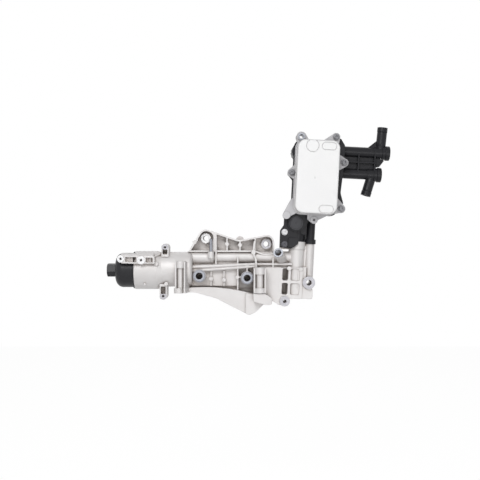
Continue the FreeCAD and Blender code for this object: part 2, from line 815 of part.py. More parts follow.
def pillars():
    """Both pillars, their bases and the slanting foot lug of the right one."""
    solids = pillar(pillar_c_x, pillar_c_top, pillar_c_head_radius, pillar_c_foot_shift, pillar_c_flare)
    solids += pillar(pillar_d_x, pillar_d_top, pillar_d_head_radius, pillar_d_foot_shift, pillar_d_flare)
    lug = plate(
        ((pillar_d_x - 12.6, pillar_foot_z - 1, 0), (pillar_d_x + 9, pillar_foot_z - 1, 3),
         (pillar_d_x + 23.8, -114.0, 3), (pillar_d_x + 23.8, -127.6, 4), (pillar_d_x + 11, -127.6, 6),
         (pillar_d_x - 12.6, -120.6, 1)), "y", pillar_y - 6, block_front_y + joint_overlap)
    return solids + [lug]


def pillar_holes():
    return [cylinder_z(x, pillar_y, pillar_hole_radius, pillar_foot_z - 30, top + joint_overlap)
            for x, top in ((pillar_c_x, pillar_c_top), (pillar_d_x, pillar_d_top))]


def arm():
    """The channel-shaped arm over the cap that carries two tapped pads."""
    (left_x, left_z), (right_x, right_z) = arm_pad_left, arm_pad_right
    back = arm_front_y + arm_depth
    end_x = right_x + arm_end_reach
    corners = ((left_x - 6.5, left_z + 2, 3), (left_x - 3, left_z + 7.5, 4), (right_x, right_z + 8.5, 0),
               (end_x, right_z + 7.5, 2), (end_x + 1, right_z - 7, 2), (right_x, right_z - 7, 0),
               (left_x + 2, left_z - 9, 3))
    body = plate(corners, "y", arm_front_y + joint_overlap, back)
    slot_left = plate(((left_x + 9, left_z + 5.5, 1), (right_x - 9.5, right_z + 7, 1),
                       (right_x - 9.5, right_z - 4.5, 1), (left_x + 9, left_z - 5.5, 1)), "y",
                      arm_front_y, back - arm_wall)
    slot_right = plate(((right_x + 9.5, right_z + 5, 1), (end_x - 3, right_z + 4.2, 1),
                        (end_x - 3, right_z - 4.6, 1), (right_x + 9.5, right_z - 4.5, 1)), "y",
                       arm_front_y, back - arm_wall)
    gap = block(right_x - 17, right_x - 9.5, arm_front_y, back, right_z - 4, right_z + 6)
    body = cut_from(body, [slot_left, slot_right, gap])
    lip = plate(((arm_front_y + joint_overlap, left_z + 3.5, 0), (arm_front_y + joint_overlap, left_z + 6, 1),
                 (back, left_z + 10.5, 2), (arm_front_y + arm_lip_depth, left_z + 10.7, 0),
                 (arm_front_y + arm_lip_depth, left_z + 7.2, 0), (back, left_z + 6, 0)),
                "x", left_x - 1, end_x - 2)
    pads = [cylinder_y(*arm_pad_left, arm_pad_left_radius, arm_front_y, back),
            cylinder_y(*arm_pad_right, arm_pad_right_radius, arm_front_y, back)]
    root = block(mouth_x + collar_chord(), end_x, back - joint_overlap, filter_y, right_z - 7, right_z + 7)
    small = [cylinder_y(end_x + 3.0, -47.0, pad_radius, arm_front_y + 8, filter_y),
             cylinder_y(-188.5, -87.0, pad_radius / 2, filter_y - 32, filter_y),
             bar((end_x - 2, filter_y - 30, right_z + 6.0), (end_x + 12, filter_y - 18, right_z + 14.0), 2.2),
             block(right_x + 17, right_x + 18.6, arm_front_y + 3, back, right_z - 5, right_z + 5)]
    return [body, lip] + pads + [root] + small


def collar_chord():
    """How far inside the mouth the arm's root starts, clear of the thread bore's chamfer."""
    return 2 * mouth_chamfer


def tabs():
    """The two slotted tabs above and below the barrel."""
    solids = []
    for (x, z), side in ((tab_top, 1), (tab_bottom, -1)):
        root_z = filter_z + side * (barrel_radius - 2 * barrel_wall)
        low, high = sorted((root_z, z))
        body = fused([block(x - tab_radius, x + tab_radius, tab_front_y, tab_back_y, low, high),
                      cylinder_y(x, z, tab_radius, tab_front_y, tab_back_y)])
        gap_low, gap_high = sorted((z - side * tab_radius * 0.62, filter_z + side * (barrel_radius - 3.0)))
        slot = block(x - tab_slot_width / 2, x + tab_slot_width / 2, tab_front_y, tab_back_y - 20,
                     gap_low, gap_high)
        solids.append(body.cut(slot))
    solids.append(cylinder_y(-146.5, -87.0, pad_radius, tab_front_y - 2, filter_y))
    return solids


def tapped_holes():
    pads = ((*arm_pad_left, arm_front_y), (*arm_pad_right, arm_front_y),
            (*tab_top, tab_front_y), (*tab_bottom, tab_front_y))
    return [cylinder_y(x, z, tapped_hole_radius, front, front + min(tapped_hole_depth, arm_depth + 20 * (k > 1)))
            for k, (x, z, front) in enumerate(pads)]


def tilted_port():
    along = Vector(*port_tilt_direction)
    return [Part.makeCylinder(port_boss_radius, port_length, Vector(*port_end), along)]


def along_port(near, far, radius):
    """A round bar on the port's axis between two depths below its end face."""
    along = Vector(*port_tilt_direction)
    along.normalize()
    return Part.makeCylinder(radius, far - near, Vector(*port_end) + along * near, along)


def tilted_port_holes():
    return [along_port(0, port_insert_length, port_insert_radius + press_clearance),
            along_port(0, port_hole_depth, port_hole_radius - port_hole_step)]


def tower():
    """The two upright columns under the manifold, their foot and the lug for the manifold's bracket."""
    main = cylinder_z(main_column_x, tower_y, main_column_radius, tower_bottom_z, tower_top_z)
    collar = cylinder_z(main_column_x, tower_y, main_column_radius + tower_collar_step,
                        tower_top_z - tower_collar_height, tower_top_z)
    side = cylinder_z(side_column_x, tower_y, side_column_radius, tower_bottom_z + 4, side_top_z)
    tie = block(main_column_x, side_column_x, tower_y - 5, tower_y + 4, tower_bottom_z + 4, side_top_z - 4)
    foot = rounded_box(main_column_x, side_column_x + side_column_radius, block_front_y + 2,
                       tower_y + main_column_radius, tower_bottom_z + 1, tower_bottom_z + 22, 4.0)
    step = block(main_column_x + 4, side_column_x - 6, block_front_y + 2, tower_y,
                 tower_bottom_z + 4, block_top_z + 1)
    (up_x, up_z), (low_x, low_z) = bracket_screw_up, bracket_screw_low
    lugs = [cylinder_y(x, z, lug_radius, bracket_plate_back_y, lug_back_y)
            for x, z in (bracket_screw_up, bracket_screw_low)]
    lugs.append(block(up_x - lug_radius, up_x + lug_radius, lug_back_y - lug_web, lug_back_y, lug_low_z, up_z))
    lugs.append(block(low_x - lug_radius, main_column_x, lug_back_y - lug_web, lug_back_y,
                      lug_low_z, low_z + lug_radius - 5))
    back_web = block(main_column_x - 6, main_column_x + 6, tower_y, -flange_thickness,
                     tower_bottom_z, block_top_z + 22)
    return [leaning(s) for s in [main, collar, side, tie, foot, step, back_web] + lugs]


def tower_bores():
    """Bores that take the manifold's spigots and run down to the galleries."""
    main = cylinder_z(main_column_x, tower_y, main_bore_radius, bore_bottom_z, tower_top_z)
    side = cylinder_z(side_column_x, tower_y, side_bore_radius, bore_bottom_z, side_top_z)
    holes = [cylinder_y(x, z, screw_shank_radius + touch_gap, bracket_plate_back_y, lug_back_y - 3)
             for x, z in (bracket_screw_up, bracket_screw_low)]
    return [leaning(tool) for tool in [main, side] + holes]


def flange_corners(margin):
    """Outline of the engine flange round the oil cavity, grown by a margin."""
    left, right = block_left_x + flange_margin - margin, pocket_left_x - 2 + margin
    low, high = block_bottom_z + flange_margin - margin, block_top_z - flange_margin + margin
    round_corner = 5.0 + margin
    return ((left, low, round_corner), (right, low, round_corner),
            (right, high, round_corner), (left, high, round_corner))


def engine_flange():
    """Flat flange ring, the inlet pad on the barrel and the ribs that tie the bosses together behind."""
    ring = plate(flange_corners(flange_margin), "y", -flange_thickness, 0)
    ring = ring.cut(rounded_box(block_left_x + flange_margin + 2, pocket_left_x - block_wall - 2, -flange_thickness, 0,
                                block_bottom_z + flange_margin + 2, block_top_z - flange_margin - 2, 6.0))
    pad = fused([cylinder_y(inlet_pad_x, filter_z, inlet_pad_radius, filter_y, 0),
                 cylinder_y(0, 0, datum_pad_radius, deep_floor_y, 0)])
    back, deep = -2.0, deep_floor_y
    ties = [
        (boss_a, boss_c),
        (boss_c, boss_d),
        (boss_d, boss_b),
        (boss_a, boss_b),
        ((inlet_pad_x, filter_z), boss_c),
        (boss_e, (block_right_x - 20, -96.0)),
    ]
    ribs = []
    for (x1, z1), (x2, z2) in ties:
        length = math.hypot(x2 - x1, z2 - z1)
        rib = block(0, length, deep, back, -rib_thickness / 2, rib_thickness / 2)
        rib.rotate(Vector(0, 0, 0), Vector(0, 1, 0), -math.degrees(math.atan2(z2 - z1, x2 - x1)))
        rib.translate(Vector(x1, 0, z1))
        ribs.append(rib)
    return [ring, pad] + ribs


def gasket_groove():
    outer = plate(flange_corners(groove_width + 1.2), "y", -groove_depth, 0)
    return outer.cut(plate(flange_corners(1.2), "y", -groove_depth, 0))


def inlet_groove():
    """Round groove for the seal of the inlet port."""
    middle = inlet_port_radius + groove_width
    return cylinder_y(inlet_pad_x, filter_z, middle, -groove_depth, 0).cut(
        cylinder_y(inlet_pad_x, filter_z, middle - groove_width / 2, -groove_depth, 0))


def gallery_bores():
    """The clean oil gallery from the riser to the tower's main bore."""
    return [cylinder_x(gallery_y, gallery_z, gallery_bore_radius, riser_x, main_column_x)]


def pin_block():
    half = pin_block_width / 2
    base = pin_block_top_z - 13.5
    return [cylinder_z(pin_x, pin_y, half, base, pin_block_top_z),
            block(pin_x - half, pin_x + half, pin_y, gallery_y, base, pin_block_top_z)]


def pin_hole():
    return [cylinder_z(pin_x, pin_y, pin_radius + press_clearance, pin_seat_z, pin_block_top_z)]


def make_filter_housing():
    solids = barrel() + galleries() + rails() + web_panel() + shelf_and_gusset() + engine_bosses()
    solids += bracket() + crossing_ribs() + [right_block()] + block_trim() + pillars() + arm() + tabs()
    solids += tilted_port()
    solids += tower() + engine_flange() + pin_block()
    body = fused(solids)
    tools = barrel_bores() + engine_holes() + pillar_holes() + tapped_holes() + tilted_port_holes()
    tools += tower_bores() + [gasket_groove(), inlet_groove(), low_recess()] + gallery_bores() + pin_hole()
    for tool in tools:
        body = body.cut(tool)
    return body


# The screw cap and what it carries


def make_filter_cap():
    """Screw cap with its hexagon, crown ribs, clip ring and seal groove."""
    skirt_radius = thread_bore_radius - cap_thread_clearance
    shoulder_x = mouth_x - cap_shoulder_gap
    dome_x = shoulder_x - cap_side_length
    crown_x = dome_x - cap_dome_length
    skirt_x = mouth_x + cap_skirt_length
    inner = skirt_radius - cap_wall
    shell = turned_x((
        (crown_x, 0, 0),
        (crown_x, cap_radius, cap_dome_round),
        (shoulder_x - cap_flange_thickness, cap_radius, 0.6),
        (shoulder_x - cap_flange_thickness, cap_flange_radius, 0.8),
        (shoulder_x, cap_flange_radius, 0.4),
        (shoulder_x, skirt_radius, 0),
        (skirt_x, skirt_radius, 1.2),
        (skirt_x, inner, 0),
        (dome_x + joint_overlap, inner, 4),
        (crown_x + cap_wall, cap_crown_radius, 6),
        (crown_x + cap_wall, 0, 0),
    ), filter_y, filter_z)
    hexagon = hexagon_x(filter_y, filter_z, cap_hex_flats, crown_x - cap_hex_length, crown_x + joint_overlap,
                        cap_hex_turn)
    bevel = turned_x((
        (crown_x - cap_hex_length, 0, 0),
        (crown_x - cap_hex_length, cap_hex_flats / 2, 0),
        (crown_x - cap_hex_length + 2, cap_hex_flats / 2 + 3, 0),
        (crown_x + joint_overlap, cap_hex_flats / 2 + 3, 0),
        (crown_x + joint_overlap, 0, 0),
    ), filter_y, filter_z)
    clip_end_x = element_start_x() - cap_shoulder_gap / 2
    ring = cylinder_x(filter_y, filter_z, clip_ring_radius + clip_ring_wall, crown_x + cap_wall - joint_overlap,
                      clip_end_x)
    hollow = cylinder_x(filter_y, filter_z, clip_ring_radius, crown_x + cap_wall, clip_end_x)
    slots = [block(crown_x + cap_wall + 3, clip_end_x, filter_y - 40, filter_y + 40,
                   filter_z - clip_slot_width / 2, filter_z + clip_slot_width / 2),
             block(crown_x + cap_wall + 3, clip_end_x, filter_y - clip_slot_width / 2,
                   filter_y + clip_slot_width / 2, filter_z - 40, filter_z + 40)]
    ring = cut_from(ring, [hollow, fused(slots)])
    body = fused([shell, hexagon.common(bevel), ring])
    groove_centre = thread_bore_radius - seal_gap - seal_section
    groove_x = mouth_x + seal_offset
    groove = cylinder_x(filter_y, filter_z, collar_radius, groove_x - seal_section - touch_gap,
                        groove_x + seal_section + touch_gap)
    groove = groove.cut(cylinder_x(filter_y, filter_z, groove_centre - seal_section - touch_gap,
                                   groove_x - 10, groove_x + 10))
    recess = cylinder_x(filter_y, filter_z, cap_hex_recess_radius, crown_x - cap_hex_length,
                        crown_x - cap_hex_length + cap_hex_recess_depth)
    return cut_from(body, [groove, recess])


def make_cap_seal():
    centre = thread_bore_radius - seal_gap - seal_section
    return Part.makeTorus(centre, seal_section, Vector(mouth_x + seal_offset, filter_y, filter_z), Vector(1, 0, 0))


def element_start_x():
    return element_end_x() - element_length


def element_end_x():
    return chamber_end_x - element_end_gap


def make_filter_media():
    """Pleated paper pack between the end discs."""
    start, end = element_start_x() + end_disc_thickness, element_end_x() - end_disc_thickness
    corners = []
    for k in range(2 * pleat_count):
        radius = element_radius if k % 2 == 0 else pleat_root_radius
        angle = math.pi * k / pleat_count
        corners.append((filter_y + radius * math.cos(angle), filter_z + radius * math.sin(angle), 0))
    pack = plate(corners, "x", start, end)
    return pack.cut(cylinder_x(filter_y, filter_z, core_radius, start, end))


def make_element_core():
    """Perforated support tube inside the pleats."""
    start, end = element_start_x() + end_disc_thickness, element_end_x() - end_disc_thickness
    tube = cylinder_x(filter_y, filter_z, core_radius, start, end)
    tools = [cylinder_x(filter_y, filter_z, core_radius - core_wall, start, end)]
    pitch = (end - start) / window_rows
    for k in range(window_rows):
        x = start + pitch * (k + 0.5)
        for turned in range(window_columns):
            slot = block(x - window_length / 2, x + window_length / 2, -core_radius - 2, core_radius + 2,
                         -window_height / 2, window_height / 2)
            slot.rotate(Vector(0, 0, 0), Vector(1, 0, 0), 180.0 * turned / window_columns)
            slot.translate(Vector(0, filter_y, filter_z))
            tools.append(slot)
    for tool in tools:
        tube = tube.cut(tool)
    return tube


def make_element_end_outer():
    """End disc at the cap, with the collar that the cap's clip ring takes."""
    start = element_start_x()
    radius, hole = element_radius + end_disc_margin, centre_tube_radius + element_slide_clearance
    return turned_x((
        (start - end_collar_length, hole + 2, 0),
        (start - end_collar_length, end_collar_radius, 0.8),
        (start, end_collar_radius, 0),
        (start, radius, 0.6),
        (start + end_disc_thickness, radius, 0.4),
        (start + end_disc_thickness, hole, 0),
        (start, hole, 0),
        (start, hole + 2, 0),
    ), filter_y, filter_z)


def make_element_end_inner():
    end = element_end_x()
    radius, hole = element_radius + end_disc_margin, centre_tube_radius + element_slide_clearance
    return turned_x((
        (end - end_disc_thickness, hole, 0),
        (end - end_disc_thickness, radius, 0.4),
        (end, radius, 0.6),
        (end, hole, 0),
    ), filter_y, filter_z)


def make_element_base_seal():
    end = element_end_x()
    flange_x = chamber_end_x - centre_flange_thickness
    ring = cylinder_x(filter_y, filter_z, base_seal_radius, end, flange_x - touch_gap)
    return ring.cut(cylinder_x(filter_y, filter_z, centre_tube_radius + element_slide_clearance, end, flange_x))


# The fixed centre tube and its bypass valve


def valve_seat_x():
    """Where the valve disc meets the seat in the tip of the centre tube."""
    return chamber_end_x - centre_tube_reach + valve_seat_thickness


def valve_step_x():
    return valve_seat_x() + touch_gap + valve_disc_thickness + valve_spring_room


def make_centre_tube():
    """Perforated tube on the end wall, with a flange, a spigot and the valve seat in its tip."""
    tip, root = chamber_end_x - centre_tube_reach, chamber_end_x + centre_tube_root
    bore = centre_tube_radius - centre_tube_wall
    tube = turned_x((
        (tip, valve_hole_radius, 0),
        (tip, centre_tube_radius, 1.0),
        (chamber_end_x - centre_flange_thickness, centre_tube_radius, 0),
        (chamber_end_x - centre_flange_thickness, centre_flange_radius, 0.5),
        (chamber_end_x, centre_flange_radius, 0),
        (chamber_end_x, centre_tube_radius, 0),
        (root, centre_tube_radius, 0.5),
        (root, bore, 0),
        (valve_step_x(), bore, 0),
        (valve_step_x(), bore - valve_bore_step, 0),
        (valve_seat_x(), bore - valve_bore_step, 0),
        (valve_seat_x(), valve_hole_radius, 0),
    ), filter_y, filter_z)
    first = valve_step_x() + valve_retainer_thickness + 6
    last = chamber_end_x - centre_flange_thickness - 4
    pitch = (last - first) / window_rows
    for k in range(window_rows):
        x = first + pitch * (k + 0.5)
        for turned in range(window_columns):
            slot = block(x - window_length / 2, x + window_length / 2, -centre_tube_radius - 1,
                         centre_tube_radius + 1, -window_height / 2, window_height / 2)
            slot.rotate(Vector(0, 0, 0), Vector(1, 0, 0), 180.0 * turned / window_columns)
            slot.translate(Vector(0, filter_y, filter_z))
            tube = tube.cut(slot)
    return tube


def make_bypass_valve():
    """Mushroom shaped valve: a disc inside the seat and a stem that runs through the retainer."""
    start = valve_seat_x() + touch_gap
    return turned_x((
        (start, 0, 0),
        (start, valve_disc_radius, 0.5),
        (start + valve_disc_thickness, valve_disc_radius, 0.5),
        (start + valve_disc_thickness, valve_stem_radius, 0.4),
        (start + valve_disc_thickness + valve_stem_length, valve_stem_radius, 0.4),
        (start + valve_disc_thickness + valve_stem_length, 0, 0),
    ), filter_y, filter_z)


def make_valve_spring():
    """Open coil between the valve disc and the retainer."""
    start = valve_seat_x() + touch_gap + valve_disc_thickness
    room = valve_step_x() - start
    height = room - 2 * valve_spring_wire - 0.04
    coil = Part.makeHelix(height / valve_spring_turns, height, valve_spring_radius)
    section = Part.Wire(Part.makeCircle(valve_spring_wire, Vector(valve_spring_radius, 0, 0), Vector(0, 1, 0)))
    wire = Part.Wire(coil).makePipeShell([section], True, True)
    wire.rotate(Vector(0, 0, 0), Vector(0, 1, 0), quarter)
    wire.translate(Vector(start + valve_spring_wire + 0.02, filter_y, filter_z))
    return wire


def make_valve_retainer():
    """Drilled guide disc that the spring pushes against."""
    start = valve_step_x()
    radius = centre_tube_radius - centre_tube_wall - touch_gap
    disc = cylinder_x(filter_y, filter_z, radius, start, start + valve_retainer_thickness)
    tools = [cylinder_x(filter_y, filter_z, valve_stem_radius + stem_clearance, start - 1, start + 5)]
    for k in range(4):
        angle = math.radians(45 + 90 * k)
        tools.append(cylinder_x(filter_y + 7.0 * math.cos(angle), filter_z + 7.0 * math.sin(angle), 1.3,
                                start - 1, start + 5))
    return cut_from(disc, tools)


# The coolant manifold and its pieces, built upright and then leaned over


def manifold_flange_solids():
    """Front flange behind the carrier, with its screw bosses."""
    front, back = manifold_front_y, manifold_front_y + manifold_flange
    x, z = cooler_centre
    solids = [rounded_box(94.0, 187.0, front, back, 50.0, 199.0, 16.0)]
    inward = ((168.0, 184.0, 20.0), (170.0, 156.0, 20.0), (120.0, 128.0, 27.0), (166.0, 84.0, 24.0))
    for place, (x2, z2, radius) in zip(ear_screws, inward):
        solids.append(strap(place, ear_radius - 0.6, (x2, z2), radius, front, back))
        solids.append(cylinder_y(*place, insert_radius + 3, front, front + insert_length + 3))
    solids.append(plate(((170, 204, 0), (186.7, 204.3, 3), (195.4, 190.9, 8), (194.5, 143, 30), (191, 97, 20),
                         (198, 75, 3), (170, 66, 0)), "y", front, back))
    solids.append(strap(plug_boss, plug_boss_radius, (126.0, 62.0), 20.0, front + 4, back))
    return solids


def manifold_shell_solids():
    """Moulded skirt and grid of ribs behind the flange, and the round bulge at its upper left."""
    back = manifold_front_y + manifold_flange
    outer = rounded_box(98.0, 184.0, back - joint_overlap, manifold_back_y, 54.0, 196.0, 14.0)
    inner = rounded_box(98.0 + manifold_wall, 184.0 - manifold_wall, back, manifold_back_y,
                        54.0 + manifold_wall, 196.0 - manifold_wall, 11.0)
    solids = [outer.cut(inner)]
    for x in (126.0, 156.0):
        solids.append(block(x - 1.25, x + 1.25, back - joint_overlap, manifold_back_y + 4, 55, 195))
    for z in (86.0, 112.0, 160.5):
        solids.append(block(99, 183, back - joint_overlap, manifold_back_y + 4, z - 1.25, z + 1.25))
    solids.append(cylinder_y(*bulge_centre, bulge_radius, manifold_front_y + 1.5, manifold_back_y))
    for k in range(bulge_rib_count):
        angle = math.radians(100 + 170 * k / (bulge_rib_count - 1))
        x = bulge_centre[0] + bulge_radius * math.cos(angle)
        z = bulge_centre[1] + bulge_radius * math.sin(angle)
        solids.append(cylinder_y(x, z, 1.0, manifold_front_y + 2.5, manifold_back_y))
    return solids


def manifold_neck_solids():
    """Neck over the tower: two ducts, the plug boss, the skirt and the screwed bracket."""
    neck = cylinder_z(main_column_x, tower_y, main_column_radius - 1, tower_top_z, 66)
    side = cylinder_z(side_column_x, tower_y, side_column_radius - 0.4, side_top_z, 66)
    collar = cylinder_z(side_column_x, tower_y, side_collar_radius, side_top_z, side_top_z + side_collar_height)
    collar = collar.cut(cylinder_z(main_column_x, tower_y, main_column_radius + tower_collar_step + 0.3,
                                   side_top_z - 1, tower_top_z))
    web = block(main_column_x, side_column_x, tower_y - 3, tower_y + 3, tower_top_z, 60)
    spigot = cylinder_z(main_column_x, tower_y, main_bore_radius - spigot_clearance, tower_top_z - spigot_depth,
                        tower_top_z)
    small = cylinder_z(side_column_x, tower_y, side_bore_radius - spigot_clearance, side_top_z - spigot_depth,
                       side_top_z)
    boss = cylinder_y(*plug_boss, plug_boss_radius, plug_front_y + 2, manifold_back_y)
    back = bracket_plate_back_y
    front = back - bracket_plate_thickness
    corners = ((82.6, 44, 0), (82.8, 28, 3), (76.0, 17, 5), (76.5, -17, 2), (100, -18.4, 6), (111, -6.8, 0),
               (111, 44, 0))
    inner = main_column_radius + tower_collar_step + 0.4
    collar_room = cylinder_z(main_column_x, tower_y, inner, -30, tower_top_z)
    plate_solid = plate(corners, "y", front, back).cut(collar_room)
    skirt = plate(((93, 4, 5), (93, -15.5, 3), (104, -15.5, 3), (113, -8, 3), (113, 4, 5)), "y",
                  tower_y - inner - 4.5, back).cut(collar_room)
    wedge = plate(((103.5, 20, 0), (128, 8, 4), (131, 60, 0), (98, 60, 0)), "y", tower_y - 14, tower_y)
    return [neck, side, collar, web, spigot, small, boss, plate_solid, skirt, wedge]


def pipe_run(z, end_x):
    return [cylinder_x(pipe_y, z, pipe_radius, pipe_start_x - 24, end_x),
            cylinder_x(pipe_y, z, pipe_plug_radius - 1.4, end_x - 6, end_x)]


def spigot_line(x, z, lean, length, up):
    """Start, direction and end of a hose spigot."""
    angle = math.radians(lean)
    step = (math.sin(angle) * (1 if up else -1), 0.0, math.cos(angle) * (1 if up else -1))
    start = (x, pipe_y, z)
    return start, step, tuple(s + length * d for s, d in zip(start, step))


def spigot_lines():
    return (spigot_line(upper_spigot_x, upper_pipe_z, upper_spigot_lean, upper_spigot_length, True),
            spigot_line(lower_spigot_x, lower_pipe_z, lower_spigot_lean, lower_spigot_length, False))


def twin_pipe_solids():
    """The two pipes, their hose spigots and the web and ribs between them."""
    solids = pipe_run(upper_pipe_z, upper_pipe_end_x) + pipe_run(lower_pipe_z, lower_pipe_end_x)
    solids.append(cylinder_x(pipe_y, lower_pipe_z, lower_sleeve_radius, lower_sleeve_start_x, lower_pipe_end_x))
    solids.append(cylinder_x(pipe_y, upper_pipe_z, lower_sleeve_radius, 256.0, upper_pipe_end_x))
    for start, step, end in spigot_lines():
        solids.append(bar(start, end, spigot_radius))
        bead = tuple(e - spigot_bead_length * d for e, d in zip(end, step))
        solids.append(bar(bead, end, spigot_bead_radius))
    half = pipe_web_thickness / 2
    solids.append(block(180, 262, pipe_web_y - half, pipe_web_y + half, lower_pipe_z, upper_pipe_z))
    solids.append(block(180, 262, pipe_y - 8, pipe_web_y + 8, 160.2, 162.8))
    for x in pipe_rib_xs:
        solids.append(block(x - 1.3, x + 1.3, pipe_y - pipe_radius + 0.5, pipe_y + pipe_radius - 0.5,
                            lower_pipe_z - 4, upper_pipe_z + 1))
    solids.append(plate(((257, 176, 0), (278.0, 168.0, 1), (268.8, 155, 2), (263, 153.4, 0), (257, 149, 0)), "y",
                        pipe_web_y - half, pipe_web_y + half))
    solids.append(plate(((240, 189, 0), (262, 208, 0), (268, 188, 0)), "y", pipe_y - 1.5, pipe_y + 1.5))
    return solids


def manifold_ducts():
    """Every passage in the manifold, and the seats of its plugs, inserts and screws."""
    tools = []
    for x, radius in ((main_column_x, port_radius), (side_column_x, side_duct_radius)):
        tools.append(cylinder_z(x, tower_y, radius, side_top_z - spigot_depth, oil_port_z))
        tools.append(cylinder_y(x, oil_port_z, radius, manifold_front_y, tower_y))
    for z, end_x in ((upper_pipe_z, upper_pipe_end_x), (lower_pipe_z, lower_pipe_end_x)):
        tools.append(cylinder_x(pipe_y, z, pipe_bore_radius, coolant_port_x, end_x))
        tools.append(cylinder_y(coolant_port_x, z, port_radius - 1, manifold_front_y, pipe_y))
    for start, _, end in spigot_lines():
        tools.append(bar(start, end, spigot_bore_radius))
    for x, z, _ in port_places():
        tools.append(seal_groove(x, z))
    for place in ear_screws:
        tools.append(cylinder_y(*place, insert_radius + press_clearance, manifold_front_y,
                                manifold_front_y + insert_length))
        tools.append(cylinder_y(*place, screw_hole_radius, manifold_front_y, manifold_front_y + insert_length + 3))
    for place in (bracket_screw_up, bracket_screw_low):
        tools.append(cylinder_y(*place, sleeve_radius + press_clearance,
                                bracket_plate_back_y - bracket_plate_thickness, bracket_plate_back_y))
    tools.append(cylinder_y(*plug_boss, plug_radius + press_clearance, plug_front_y, plug_front_y + plug_thickness))
    tools.append(cylinder_y(*plug_boss, port_radius, plug_front_y, tower_y))
    tools += [ring_groove(*place) for place in tower_seal_places()]
    return tools


def port_places():
    """The four ports between manifold and cooler: (x, z, radius)."""
    return ((main_column_x, oil_port_z, port_radius), (side_column_x, oil_port_z, side_duct_radius),
            (coolant_port_x, upper_pipe_z, port_radius - 1), (coolant_port_x, lower_pipe_z, port_radius - 1))


def seal_groove(x, z):
    groove = cylinder_y(x, z, port_seal_radius + port_seal_section, manifold_front_y,
                        manifold_front_y + 2 * port_seal_section)
    return groove.cut(cylinder_y(x, z, port_seal_radius - port_seal_section, manifold_front_y,
                                 manifold_front_y + 2 * port_seal_section))


def tower_seal_places():
    """Each seal of the tower spigots as (x, level, bore radius, section radius)."""
    return ((main_column_x, tower_top_z - 4.0, main_bore_radius, tower_seal_section),
            (main_column_x, tower_top_z - 10.0, main_bore_radius, tower_seal_section),
            (side_column_x, side_top_z - 7.0, side_bore_radius, side_seal_section))


def ring_groove(x, z, bore, section):
    """Groove round a tower spigot for a round section seal."""
    half = section + touch_gap
    groove = cylinder_z(x, tower_y, bore + 2, z - half, z + half)
    return groove.cut(cylinder_z(x, tower_y, bore - 2 * section - touch_gap, z - half - 1, z + half + 1))


def make_coolant_manifold():
    solids = manifold_flange_solids() + manifold_shell_solids() + manifold_neck_solids() + twin_pipe_solids()
    body = fused(solids)
    body = body.cut(cylinder_y(*ear_engine, ear_engine_radius + 1.5, manifold_front_y - 1, 0))
    for tool in manifold_ducts():
        body = body.cut(tool)
    return leaning(body)


def make_pipe_plug(z, end_x):
    """Round welded plug that closes a pipe."""
    disc = turned_x((
        (end_x - pipe_plug_spigot, 0, 0),
        (end_x - pipe_plug_spigot, pipe_bore_radius - touch_gap, 0.5),
        (end_x, pipe_bore_radius - touch_gap, 0),
        (end_x, pipe_plug_radius, 1.2),
        (end_x + pipe_plug_length, pipe_plug_radius, 2.0),
        (end_x + pipe_plug_length, pipe_plug_radius - 4, 0.5),
        (end_x + pipe_plug_length - 1.5, pipe_plug_radius - 5, 0.5),
        (end_x + pipe_plug_length - 1.5, 0, 0),
    ), pipe_y, z)
    return leaning(disc)


def make_access_plug():
    """Round plug that closes the neck towards the viewer, with a small dimple in its middle."""
    disc = cylinder_y(*plug_boss, plug_radius, plug_front_y - 1.5, plug_front_y + plug_thickness - 0.2)
    front = plug_front_y - 1.5
    tools = [cylinder_y(*plug_boss, 1.0, front, front + 1.0)]
    ring = cylinder_y(*plug_boss, plug_radius - 1.6, front, front + 0.5)
    tools.append(ring.cut(cylinder_y(*plug_boss, plug_radius - 2.4, front, front + 0.5)))
    return leaning(cut_from(disc, tools))


def make_port_seals():
    """Four round section seals between manifold and carrier."""
    return [leaning(seal_groove(x, z)) for x, z, _ in port_places()]


def make_tower_seals():
    """Three round section seals on the tower spigots."""
    return [leaning(Part.makeTorus(bore - section - touch_gap / 2, section, Vector(x, tower_y, z), Vector(0, 0, 1)))
            for x, z, bore, section in tower_seal_places()]


# The carrier plate and the brazed cooler


def make_cooler_carrier():
    front, back = carrier_front_y, manifold_front_y
    solids = [rounded_box(96.5, 183.5, front, back, 50.0, 198.0, 17.0)]
    inward = ((162.0, 184.0, 18.0), (164.0, 156.0, 24.0), (118.0, 134.0, 24.0), (158.0, 80.0, 24.0))
    for place, (x2, z2, radius) in zip(ear_screws, inward):
        solids.append(strap(place, ear_radius, (x2, z2), radius, front, back))
        solids.append(cylinder_y(*place, screw_head_radius + ear_boss_margin, front - 1.2, back))
    solids.append(plate(((134, 36, 0), (149, 41, 0), (171.5, 53, 30), (190, 57, 0), (168, 78, 0), (126, 78, 0),
                         (127, 42, 0)), "y", front, back))
    solids.append(strap(ear_engine, ear_engine_radius, (115.0, 184.0), 14.0, front, back))
    solids.append(cylinder_y(*ear_engine, ear_engine_radius, front, front + 26))
    solids.append(cylinder_y(*ear_engine, ear_engine_raise_radius, front - 2, front + 1))
    solids.append(strap(boss_low_left, low_boss_radius, (104.0, 70.0), 14.0, front, back))
    solids.append(cylinder_y(*boss_low_left, low_boss_radius, front - low_boss_proud, back))
    solids.append(cylinder_y(*boss_low_right, low_boss_radius, front - 1.2, back))
    body = fused(solids)
    tools = [cylinder_y(*place, screw_hole_radius, front - 5, back + 1) for place in ear_screws]
    tools.append(cylinder_y(*ear_engine, ear_sleeve_radius + press_clearance, front - 5, front + 30))
    tools.append(cylinder_y(*boss_low_right, tapped_hole_radius, front - 5, front + 5))
    tools.append(cylinder_y(*plug_boss, plug_boss_radius + 1.2, front - 5, back + 1))
    tools += [cylinder_y(x, z, radius, front - 1, back + 1) for x, z, radius in port_places()]
    for tool in tools:
        body = body.cut(tool)
    return leaning(body)


